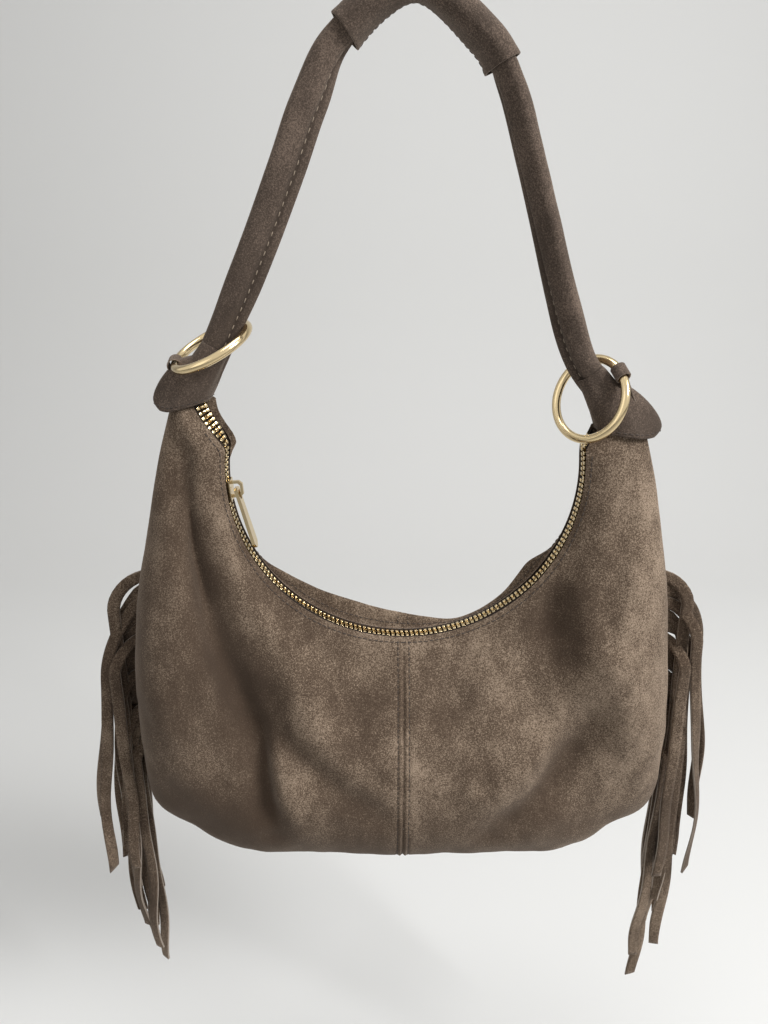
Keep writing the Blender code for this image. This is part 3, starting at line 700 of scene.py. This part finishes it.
class BagTrim(bpy.types.PropertyGroup):
    strap_mid: bpy.props.FloatVectorProperty(
        name="Strap colour", description="Suede of the strap", subtype="COLOR",
        default=(0.104, 0.077, 0.060), min=0, max=1)
    gold: bpy.props.FloatVectorProperty(
        name="Metal colour", description="Pale gold plating", subtype="COLOR",
        default=(0.77, 0.61, 0.36), min=0, max=1)
    stitch: bpy.props.FloatProperty(
        name="Stitch spacing", description="From one stitch to the next", unit="LENGTH",
        default=0.0033, min=0.001, max=0.01)


class BagFringe(bpy.types.PropertyGroup):
    seed: bpy.props.IntProperty(
        name="Seed", description="Sets how each strip hangs", default=11, min=0, max=999)
    spread: bpy.props.FloatProperty(
        name="Depth", description="How deep the bunch of strips is", unit="LENGTH",
        default=0.024, min=0.0, max=0.05)


FINISHES = {}


def scaled(colour, share):
    return tuple(c * share for c in colour)


def finishes():
    if FINISHES:
        return FINISHES
    hide_set, trim = bpy.context.scene.bag_hide, bpy.context.scene.bag_trim
    mid, light, dark, strap = (tuple(c) for c in (hide_set.mid, hide_set.light, hide_set.dark, trim.strap_mid))
    FINISHES.update({
        "body": suede("suede_hide", mid, light, dark),
        "strap": suede("suede_strap_hide", strap, scaled(strap, 1.75), scaled(strap, 0.5), 0.8, 1.3),
        "fringe": suede("suede_strips", scaled(mid, 1.06), scaled(light, 0.95), scaled(dark, 0.85), 0.9, 1.2),
        "raw": suede("raw_edge", (0.34, 0.29, 0.245), (0.48, 0.42, 0.37), (0.22, 0.18, 0.145), 0.6),
        "edge": suede("cut_edge", (0.19, 0.145, 0.115), (0.27, 0.22, 0.18), (0.10, 0.075, 0.058), 0.7),
        "gold": gold("pale_gold_plate", tuple(trim.gold)),
        "tape": woven("zip_weave", (0.030, 0.021, 0.016)),
        "thread": plain_thread("dark_thread", (0.060, 0.044, 0.034)),
        "pale_thread": plain_thread("beige_thread", (0.34, 0.27, 0.20)),
    })
    return FINISHES


# ---- operators

class BAG_OT_hide(bpy.types.Operator):
    """Makes the four panels of the body, with their folds"""
    bl_idname = "bag.hide"
    bl_label = "Body panels"

    def execute(self, context):
        kit, size = finishes(), context.scene.bag_hide
        for side, side_name in SIDES.items():
            for face, face_name in FACES.items():
                painted_tones = []

                def place(u, v, s=side, f=face, found=painted_tones):
                    point, _, painted_tone = hide(s, f, u ** 1.6, v ** 1.4)
                    found.append(painted_tone)
                    return point
                node = f"{face_name}_{side_name}"
                obj = grid_object("hide_" + node, size.columns, size.rows, place, [kit["body"], kit["edge"]])
                # Painted light and shade of the hide, kept on its points
                paint_light_and_shade(obj, painted_tones)
                face_out(obj, lambda centre, f=face: Vector((0, f, 0)))
                thicken(obj, SUEDE, rim=1, bevel=0.0004)
                place_piece(obj, "bag", "suede_body", node)
        return {"FINISHED"}


def share_at(side, face, down, away):
    """Share of the way out at which the hide lies a given distance from the centre seam."""
    low, high = 0.0, 0.2
    for _ in range(24):
        mid = (low + high) / 2
        if abs(wall(side, face, mid, down).x) < away:
            low = mid
        else:
            high = mid
    return low


def on_hide(side, face, spots):
    """Points just clear of the hide at the given shares out and down."""
    found = [hide(side, face, *spot) for spot in spots]
    return [point + normal * 0.0001 for point, normal, _ in found]


class BAG_OT_seams(bpy.types.Operator):
    """Sews the rows of stitches along the centre seams and the mouth"""
    bl_idname = "bag.seams"
    bl_label = "Stitch rows"

    def execute(self, context):
        kit, trim = finishes(), context.scene.bag_trim
        for face, face_name in FACES.items():
            centre, mouth = [], []
            for side in SIDES:
                centre.append(on_hide(side, face, [(share_at(side, face, down, STITCH_AWAY), down)
                                                   for down in spaced(0.015, 0.98, 90)]))
                spots = []
                for share in spaced(0.002, 0.927, 120):
                    step = (wall(side, face, share, 0.1) - wall(side, face, share, 0.0)).length
                    spots.append((share, 0.1 * STITCH_AWAY / step))
                mouth.append(on_hide(side, face, spots))
            stitches(f"centre_stitches_{face_name}", centre, kit["thread"], trim.stitch)
            stitches(f"mouth_stitches_{face_name}", mouth, kit["thread"], trim.stitch)
        return {"FINISHED"}


def horn_side(angle):
    """Which horn a place on the zip belongs to, and its degrees above the horizontal."""
    side = 1 if angle < math.pi / 2 else -1
    return side, math.degrees(-angle if side > 0 else angle - math.pi)


def zip_turn(angle):
    """How far the zip turns its face forward as it climbs the horn, in radians."""
    side, above = horn_side(angle)
    return math.radians(ZIP_TURN[side]) * ease((above - 10.5) / 6.0)


def track(angle, y):
    """The zip's line; angle 0 is the right end of the horizontal and it grows through the bottom."""
    side, above = horn_side(angle)
    turn = zip_turn(angle)
    radius = ZIP_R + smooth(LEAN_OUT[side], above) - y * math.sin(turn)
    return Vector((radius * math.cos(angle), y * math.cos(turn), ZIP_Z - radius * math.sin(angle)))


def tooth_unit(face):
    """One cast tooth: jaws on the tape's bead and a rounded head that reaches across the slot."""
    bm = bmesh.new()
    for low, high, wide, tall in ((0.0016, 0.0036, 0.0019, 0.0030), (-0.0006, 0.0018, 0.00145, 0.0022)):
        made = bmesh.ops.create_cube(bm, size=1.0)
        for vert in made["verts"]:
            y = low if vert.co.x < 0 else high
            vert.co = Vector((face * y, vert.co.y * tall, vert.co.z * wide))
    bmesh.ops.bevel(bm, geom=bm.edges[:], offset=0.0003, segments=2, affect="EDGES", profile=0.6)
    bmesh.ops.recalc_face_normals(bm, faces=bm.faces)
    return unit_object("tooth_unit", bm)


class BAG_OT_zip(bpy.types.Operator):
    """Makes the zip's tapes, beads and teeth, and finishes its slider and pull"""
    bl_idname = "bag.zip"
    bl_label = "Zip"

    def execute(self, context):
        kit = finishes()
        for face, face_name in FACES.items():
            first = -math.radians(HORN_ANGLE[1] - 1.0)
            span = math.pi + math.radians(HORN_ANGLE[-1] + HORN_ANGLE[1] - 2.0)

            def place(u, v, f=face, a0=first, run=span):
                angle = a0 + run * u
                side, above = horn_side(angle)
                share = min((above + 90) / (90 + HORN_ANGLE[side]), 1.0)
                half = mouth_half(share)
                level = min(0.0062, half - SUEDE - 3 * GAP)
                step = 0.01
                edge, inside = wall(side, f, share, 0.0), wall(side, f, share, 0.02)
                a = wall(side, f, min(share + step, 1), 0.01) - wall(side, f, max(share - step, 0), 0.01)
                under = facing(a.cross(inside - edge), f) * (SUEDE + 0.0006)
                row = (track(angle, f * min(0.0034, level - 0.0006)), track(angle, f * level),
                       edge - under, inside - under)
                k = min(int(v * 3), 2)
                return row[k].lerp(row[k + 1], v * 3 - k)

            tape = grid_object(f"zip_tape_{face_name}_weave", 220, 9, place, [kit["tape"]], flip=face > 0)
            thicken(tape, 0.0006, 0.0)
            place_piece(tape, "bag", "zip_cloth", f"zip_tape_{face_name}")
            low, high = -math.radians(TEETH_END[1]), math.pi + math.radians(TEETH_END[-1])
            shift = 0.0 if face < 0 else TOOTH_PITCH / 2 / ZIP_R
            angles = spaced(low + shift, high, 401)
            path = [track(angle, 0.0) for angle in angles]
            teeth = run_of(f"zip_teeth_{face_name}_cast", [path], tooth_unit(-face), TOOTH_PITCH, kit["gold"],
                           tilts=[-zip_turn(angle) for angle in angles])
            place_piece(teeth, "bag", "pale_gold", f"zip_teeth_{face_name}")
        for node in ("zip_slider", "zip_pull"):
            solid = bpy.data.objects[node]
            for slot in solid.material_slots:
                slot.material = kit["gold"]
        return {"FINISHED"}


def strap_at(share):
    run = [0.0]
    for a, b in zip(STRAP_LINE, STRAP_LINE[1:]):
        run.append(run[-1] + math.hypot(b[0] - a[0], b[1] - a[1]))
    run = [r / run[-1] for r in run]

    def at(s):
        s = min(max(s, 0.0), 1.0)
        k = 0
        while k < len(run) - 2 and run[k + 1] <= s:
            k += 1
        p = [Vector(STRAP_LINE[min(max(k + d, 0), len(run) - 1)]) for d in (-1, 0, 1, 2)]
        t = (s - run[k]) / (run[k + 1] - run[k])
        return 0.5 * ((2 * p[1]) + (p[2] - p[0]) * t + (2 * p[0] - 5 * p[1] + 4 * p[2] - p[3]) * t**2
                      + (3 * p[1] - p[0] - 3 * p[2] + p[3]) * t**3)

    here = at(share)
    ahead = at(share + 0.003) - at(share - 0.003)
    line = Vector((ahead[0], 0.0, ahead[1])).normalized()
    side = line.cross(Vector((0, 1, 0))).normalized()
    turn = math.radians(here[2])
    front = Vector((0, -1, 0))
    across = side * math.cos(turn) + front * math.sin(turn)
    out = front * math.cos(turn) - side * math.sin(turn)
    return Vector((here[0], 0.0, here[1])), line, across, out


def strap_slim(share):
    end = min(share, 1 - share)
    return 1 - STRAP_SLIM * (1 - ease((end - 0.05) / 0.08))


def strap_point(share, a, grow=0.0, flange=True):
    """A folded strip: round at its fold, thin where its two edges are sewn together."""
    centre, _, across, out = strap_at(share)
    wide, thick = STRAP_WIDE * strap_slim(share) + grow, STRAP_THICK + grow
    c, s = math.cos(a), math.sin(a)
    p, q = squared(c, 0.84), squared(s, 0.84)
    if flange:
        q *= 1 - 0.55 * ease((p - 0.15) / 0.30)
        q -= 0.12 * math.copysign(math.exp(-((p - 0.42) / 0.09) ** 2), q) * min(abs(q) * 6, 1)
        q *= 1 + 0.10 * math.exp(-((p - 0.85) / 0.1) ** 2)
    wave = 0.0005 * noise.noise(Vector((share * 34, c * 1.3, s * 1.3)))
    inward = 0.0024 * ease((0.45 - share) / 0.1)
    return centre - across * (p * wide / 2 + inward) + out * (q * thick / 2 + wave * q)


def strap_rows(shares, turn, lift, grow=0.0, flange=True):
    """A row of points on each face of the strap, just clear of it."""
    return [[strap_point(share, face * turn, grow, flange) + strap_at(share)[3] * (face * lift)
             for share in shares] for face in (1, -1)]


class BAG_OT_strap(bpy.types.Operator):
    """Makes the sewn strap, its sleeve and their stitches"""
    bl_idname = "bag.strap"
    bl_label = "Strap and sleeve"

    def execute(self, context):
        kit, painted_tones = finishes(), []

        def place(u, v):
            p = squared(math.cos(2 * math.pi * u), 0.84)
            # Painted shade in the crease where the flange meets the strap's round and over the flange, the
            # rest slightly lighter
            painted_tones.append(0.25 - 1.2 * math.exp(-((p - 0.42) / 0.12) ** 2) - 0.35 * ease((p - 0.3) / 0.3))
            return strap_point(v, 2 * math.pi * u)
        strap = grid_object("strap_hide", 48, 260, place, [kit["strap"], kit["edge"]], close=True)
        paint_light_and_shade(strap, painted_tones)
        mend(strap.data, close=True)
        shade(strap)
        place_piece(strap, "bag", "suede_strap", "strap")
        rows = strap_rows(spaced(0.02, 0.98, 260), 1.19, 0.00005)
        stitches("strap_stitches", rows, kit["pale_thread"], 0.0052, 0.0026, 0.00042, 5)

        grow = 0.0042

        def cover(u, v):
            share = WRAP_FROM + (WRAP_TO - WRAP_FROM) * v
            flare = 0.0006 * (ease((0.05 - v) / 0.05) + ease((v - 0.95) / 0.05))
            return strap_point(share, 2 * math.pi * u, grow + flare, False)
        wrap = grid_object("sleeve_hide", 44, 60, cover, [kit["strap"], kit["edge"]], close=True)
        middle = strap_at((WRAP_FROM + WRAP_TO) / 2)[0]
        face_out(wrap, lambda centre: centre - middle)
        thicken(wrap, 0.0016, -1.0, rim=1, bevel=0.0003)
        place_piece(wrap, "bag", "suede_strap", "strap_wrap")
        inset = 0.03 * (WRAP_TO - WRAP_FROM)
        seam = strap_rows(spaced(WRAP_FROM + inset, WRAP_TO - inset, 80), 0.93, 0.0001, grow, False)
        stitches("sleeve_stitches", seam, kit["thread"], 0.0034, 0.0024, 0.0003, 6)
        return {"FINISHED"}


def horn_frame(side):
    angle = horn_end(side)
    inner = HORN_INNER[side]
    middle = polar(side, angle, (inner + HORN_OUT_R) / 2)
    out = Vector((-side * math.sin(angle), 0, math.cos(angle)))
    across = Vector((side * math.cos(angle), 0, math.sin(angle)))
    return middle, out, across, (HORN_OUT_R - inner) / 2


def ring_axes(side):
    long = Vector(RINGS[side]["long"]).normalized()
    lean = Vector(RINGS[side]["lean"])
    lean = (lean - long * lean.dot(long)).normalized()
    return Vector(RINGS[side]["centre"]), long, lean, long.cross(lean)


class BAG_OT_ends(bpy.types.Operator):
    """Makes the bands round the horns, the rings and the loops that hold them"""
    bl_idname = "bag.ends"
    bl_label = "Bands and rings"

    def execute(self, context):
        kit = finishes()
        for side, name in SIDES.items():
            self.band(kit, side, name)
            self.ring(kit, side, name)
            self.loop(kit, side, name)
        return {"FINISHED"}

    def band(self, kit, side, name):
        middle, out, across, half = horn_frame(side)
        wide, deep = half + 0.0014, 0.0115
        share = 0.045 if side < 0 else 0.955
        neck, _, away, _ = strap_at(share)
        if away.dot(across) < 0:
            away = -away
        slim = strap_slim(share)
        neck_wide, neck_deep = STRAP_WIDE * slim / 2 - 0.0006, STRAP_THICK * slim / 2 + 0.0010
        ends = [strap_point(share, a, flange=False) for a in (0.0, math.pi)]
        inward = ends[0].lerp(ends[1], 0.5) - neck

        def place(u, v):
            a = 2 * math.pi * u
            c, s = math.cos(a), math.sin(a)
            p, q = squared(c, 0.75), squared(s, 0.75)
            ear = ease((c - 0.62) / 0.38) * math.sin(math.pi * min(v * 1.5 + 0.02, 1.0)) ** 0.6
            low = middle + across * (p * wide) + Vector((0, q * deep, 0))
            low += out * (-BAND_DOWN - BAND_SKEW[side] * p * wide)
            top = neck + inward + away * (p * neck_wide) + Vector((0, q * neck_deep, 0))
            blend = 0.15 * v + 0.85 * ease((v - 0.12) / 0.88)
            point = low.lerp(top, blend)
            point += out * (0.006 * math.sin(math.pi * v)) + across * (0.0088 * ear)
            point.y *= 1 - 0.35 * ear
            wave = noise.noise(Vector((c * 1.7 + side, s * 1.7, v * 2.5)))
            wave *= 0.0009 * (1 - ease((v - 0.6) / 0.3))
            return point + (across * c + Vector((0, s, 0))) * wave

        obj = grid_object(f"band_{name}_hide", 84, 26, place, [kit["strap"], kit["edge"]], close=True)
        face_out(obj, by_depth)
        thicken(obj, 0.0013, -1.0, rim=1, even=False)
        place_piece(obj, "bag", "suede_strap", f"band_{name}")
        path, v = [], 0.09
        for k in range(161):
            point, near, ahead = place(k / 160, v), place(k / 160, v + 0.03), place((k + 1) / 160, v)
            path.append(point + facing((near - point).cross(ahead - point), point.y) * 0.00005)
        stitches(f"band_{name}_stitches", [path], kit["thread"], 0.0035, 0.0023, 0.00032, 9)

    def ring(self, kit, side, name):
        centre, long, lean, normal = ring_axes(side)

        def place(u, v):
            a, b = 2 * math.pi * u, 2 * math.pi * v
            radial = long * math.cos(a) + lean * math.sin(a)
            return centre + radial * (RING_R + RING_WIRE * math.cos(b)) + normal * RING_WIRE * math.sin(b)
        obj = grid_object(f"ring_{name}_cast", 96, 24, place, [kit["gold"]], close=True)
        mend(obj.data, join=0.000005)
        shade(obj)
        place_piece(obj, f"{name}_ring", "pale_gold", f"ring_{name}")

    def loop(self, kit, side, name):
        centre, long, lean, normal = ring_axes(side)
        turn = math.radians(LOOP_ROUND[side])
        radial = long * side * math.cos(turn) - lean * math.sin(turn)
        spot = centre + radial * RING_R
        tangent = normal.cross(radial).normalized()
        middle, out, across, half = horn_frame(side)
        aim = middle + across * (half * 0.75) + out * (0.002 - BAND_SKEW[side] * half * 0.75)
        toward = aim - spot
        shear = toward.dot(tangent)
        toward -= tangent * shear
        reach = toward.length
        toward.normalize()
        other = tangent.cross(toward)
        thick = 0.0014
        inner = RING_WIRE + 0.0003
        tail = max(reach, inner + 0.004)

        def place(u, v):
            r = inner + thick
            arc = 2 * math.pi - 1.2
            leg = tail - r * math.cos(0.6)
            d = u * (2 * leg + arc * r)
            if d < leg:
                p, q = tail - d, 0.0009 + (r * math.sin(0.6) - 0.0009) * ease(d / leg)
            elif d < leg + arc * r:
                b = 0.6 + (d - leg) / r
                p, q = r * math.cos(b), r * math.sin(b)
            else:
                d -= leg + arc * r
                p, q = r * math.cos(0.6) + d, -0.0009 - (r * math.sin(0.6) - 0.0009) * ease(1 - d / leg)
            down = ease((p - r * 0.5) / max(tail - r * 0.5, 0.001))
            w = (v - 0.5) * 0.0078 * (1 + 0.35 * down)
            return spot + toward * p + other * q + tangent * (w + shear * down)
        obj = grid_object(f"ring_loop_{name}_hide", 72, 8, place, [kit["strap"], kit["edge"]])
        face_out(obj, lambda centre: centre - spot if (centre - spot).length < 0.006 else Vector())
        thicken(obj, thick, -1.0, rim=1, bevel=0.0003)
        place_piece(obj, "bag", "suede_strap", f"ring_loop_{name}")


class BAG_OT_fringe(bpy.types.Operator):
    """Cuts the two fringes and hangs their strips"""
    bl_idname = "bag.fringe"
    bl_label = "Fringe"

    def execute(self, context):
        for side, name in SIDES.items():
            self.sheet(context, side, name)
        return {"FINISHED"}

    def sheet(self, context, side, name):
        kit, size = finishes(), context.scene.bag_fringe
        pick = random.Random(size.seed + side)
        step = STRIP_WIDE + STRIP_CUT
        rows, wide = 54, 4
        verts, faces = [], []
        area = 0.0
        for strip in range(FRINGE_STRIPS):
            share = strip / (FRINGE_STRIPS - 1)
            z0 = FRINGE_TOP - (strip + 0.5) * step
            hang, flare, layer = STRIPS[strip]
            hang += pick.uniform(-0.0015, 0.0015) - (0.004 * (1 - share) if side > 0 else 0.0)
            flare += pick.uniform(-0.002, 0.002)
            reach = hang - seam_x(z0) - HEAD_OUT * 0.6
            first = math.radians(pick.uniform(12, 48) if strip else 8)
            travel = STRIP_LONG * STRIP_CUTS[strip % len(STRIP_CUTS)] * (1 - STRIP_SHORTER[side] * share)
            bend = reach * (math.pi / 2 - first) / (1 - math.sin(first))
            spot, slant = Vector((0, 0, 0)), pick.uniform(-0.5, 0.5)
            layer *= size.spread / 0.024
            sway = [pick.uniform(*ends) for ends in ((-0.5, 0.5), (0, 6.28), (-1, 1), (0, 6.28))]
            twist = pick.uniform(-0.8, 0.8)
            twist_from = pick.uniform(0.1, 0.4)
            curl = pick.uniform(-0.5, 0.5)
            base = len(verts)
            for j in range(rows + 1):
                for i in range(wide + 1):
                    e = i / wide - 0.5
                    if j <= 1:
                        z = z0 - e * step
                        x = seam_x(z) + (-HEAD_IN if j == 0 else HEAD_OUT * 0.6)
                        verts.append((side * x, 0.0, z))
                        continue
                    run = travel * ((j - 1) / (rows - 1))
                    a = first + (math.pi / 2 - first) * min(run / bend, 1.0)
                    way = Vector((math.cos(a), 0, -math.sin(a)))
                    if i == 0:
                        spot = spot + way * (travel / (rows - 1))
                    x, z = spot.x, spot.z
                    low = ease((run - bend * 0.7) / travel)
                    x += flare * ease((run - bend * 0.5) / 0.16)
                    x += 0.003 * sway[0] * low + 0.0019 * math.sin(run * 68 + sway[1]) * low
                    y = layer * ease(run / (0.8 * bend)) + 0.003 * sway[2] * low
                    y += 0.0018 * math.sin(run * 55 + sway[3]) * low
                    angle = twist * ease((run / travel - twist_from) / 0.5)
                    angle += 0.35 * math.sin(run * 30 + sway[1]) * low
                    plane = Vector((-way.z, 0, way.x))
                    across = plane * math.cos(angle) + Vector((0, 1, 0)) * math.sin(angle)
                    bowl = curl * 0.0016 * (0.25 - e * e) * 4 * low
                    width = STRIP_WIDE * (1.0 - 0.10 * ease((run / travel - 0.9) / 0.1))
                    width *= 1 + 0.05 * math.sin(run * 55 + strip)
                    point = Vector((x, y, z)) - across * (e * width)
                    point += Vector((0, 1, 0)).lerp(plane, 0.3) * bowl
                    if j == rows:
                        point -= way * (slant * e * STRIP_WIDE)
                    verts.append((side * (seam_x(z0) + HEAD_OUT * 0.6 + point.x), point.y, z0 + point.z))
            for j in range(rows):
                for i in range(wide):
                    a = base + j * (wide + 1) + i
                    quad = (a, a + 1, a + wide + 2, a + wide + 1)
                    faces.append(quad if side > 0 else quad[::-1])
            area += STRIP_WIDE * travel + step * (HEAD_IN + HEAD_OUT)
        obj = mesh_object(f"fringe_{name}_strips", verts, faces, [kit["fringe"], kit["raw"]])
        mend(obj.data, join=0.00002, outward=False)
        thicken(obj, STRIP_THICK, 0.0, rim=1)
        place_piece(obj, "bag", "suede_fringe", f"fringe_{name}")


class BAG_OT_stage(bpy.types.Operator):
    """Sets the floor, the backdrop, the lights and the camera"""
    bl_idname = "bag.stage"
    bl_label = "Stage"

    def execute(self, context):
        scene = context.scene
        turns = [k * math.pi / 16 for k in range(1, 9)]
        rows = [(-3.6, FLOOR_Z), (1.0, FLOOR_Z)]
        rows += [(1.0 + 0.6 * math.sin(a), FLOOR_Z + 0.6 * (1 - math.cos(a))) for a in turns]
        rows += [(1.6, 2.2)]
        last = len(rows) - 1
        paint = Finish("pale_floor", Roughness=0.9)
        # Painted shade on the floor in front, where the key lamp's pool falls, and painted light up the far
        # backdrop
        back = (paint.axis("Object", 1) * 1.1 + 0.95).clamp()
        paint.put(Base_Color=paint.mix(back, (0.43, 0.43, 0.425), (0.73, 0.73, 0.72)))
        floor = grid_object("floor", 1, last, lambda u, v: (9 * u - 4.5, *rows[round(v * last)]), [paint.mat])
        shade(floor)
        world = bpy.data.worlds.new("studio")
        world.use_nodes = True
        tree = world.node_tree
        light, seen = tree.nodes["Background"], tree.nodes.new("ShaderNodeBackground")
        light.inputs[0].default_value, light.inputs[1].default_value = (1.0, 0.99, 0.97, 1), 0.35
        seen.inputs[0].default_value, seen.inputs[1].default_value = (0.86, 0.86, 0.85, 1), 1.0
        ray = tree.nodes.new("ShaderNodeLightPath")
        camera, glossy, through = (Value(tree, ray.outputs[f"Is {kind} Ray"])
                                   for kind in ("Camera", "Glossy", "Transmission"))
        share = (camera + glossy + through).clamp()
        mix = tree.nodes.new("ShaderNodeMixShader")
        tree.links.new(share.socket, mix.inputs[0])
        tree.links.new(light.outputs[0], mix.inputs[1])
        tree.links.new(seen.outputs[0], mix.inputs[2])
        tree.links.new(mix.outputs[0], tree.nodes["World Output"].inputs[0])
        scene.world = world
        for name, spot, target, power, size in LAMPS:
            lamp = bpy.data.lights.new(name, "AREA")
            lamp.energy = power
            lamp.size = size
            obj = link(bpy.data.objects.new(name, lamp))
            obj.location = spot
            obj.rotation_mode = "QUATERNION"
            obj.rotation_quaternion = (Vector(target) - Vector(spot)).to_track_quat("-Z", "Y")
        lens = bpy.data.cameras.new("camera")
        lens.sensor_width = 36.0
        lens.lens = FOCAL_PX / PHOTO_PX * lens.sensor_width
        lens.clip_start = 0.01
        cam = link(bpy.data.objects.new("camera", lens))
        cam.location = CAMERA_AT
        cam.rotation_euler = (math.radians(CAMERA_TILT), 0, 0)
        scene.camera = cam
        scene.view_settings.view_transform = "Standard"
        return {"FINISHED"}


class BAG_PT_panel(bpy.types.Panel):
    """Lists the bag's steps"""
    bl_idname = "BAG_PT_panel"
    bl_label = "Fringed suede bag"
    bl_space_type = "VIEW_3D"
    bl_region_type = "UI"
    bl_category = "Bag"

    def draw(self, context):
        layout = self.layout
        for group in (context.scene.bag_hide, context.scene.bag_trim, context.scene.bag_fringe):
            box = layout.box()
            for name in group.__annotations__:
                box.prop(group, name)
        for step in STEPS:
            layout.operator(step.bl_idname)


STEPS = (BAG_OT_hide, BAG_OT_seams, BAG_OT_zip, BAG_OT_strap, BAG_OT_ends, BAG_OT_fringe, BAG_OT_stage)
GROUPS = {"bag_hide": BagHide, "bag_trim": BagTrim, "bag_fringe": BagFringe}


def register():
    for cls in (*GROUPS.values(), *STEPS, BAG_PT_panel):
        bpy.utils.register_class(cls)
    for name, cls in GROUPS.items():
        setattr(bpy.types.Scene, name, bpy.props.PointerProperty(type=cls))


def unregister():
    for name in GROUPS:
        delattr(bpy.types.Scene, name)
    for cls in (BAG_PT_panel, *reversed(STEPS), *GROUPS.values()):
        bpy.utils.unregister_class(cls)


def main():
    register()
    bpy.ops.bag.hide()
    bpy.ops.bag.seams()
    bpy.ops.bag.zip()
    bpy.ops.bag.strap()
    bpy.ops.bag.ends()
    bpy.ops.bag.fringe()
    bpy.ops.bag.stage()


if __name__ == "__main__":
    main()
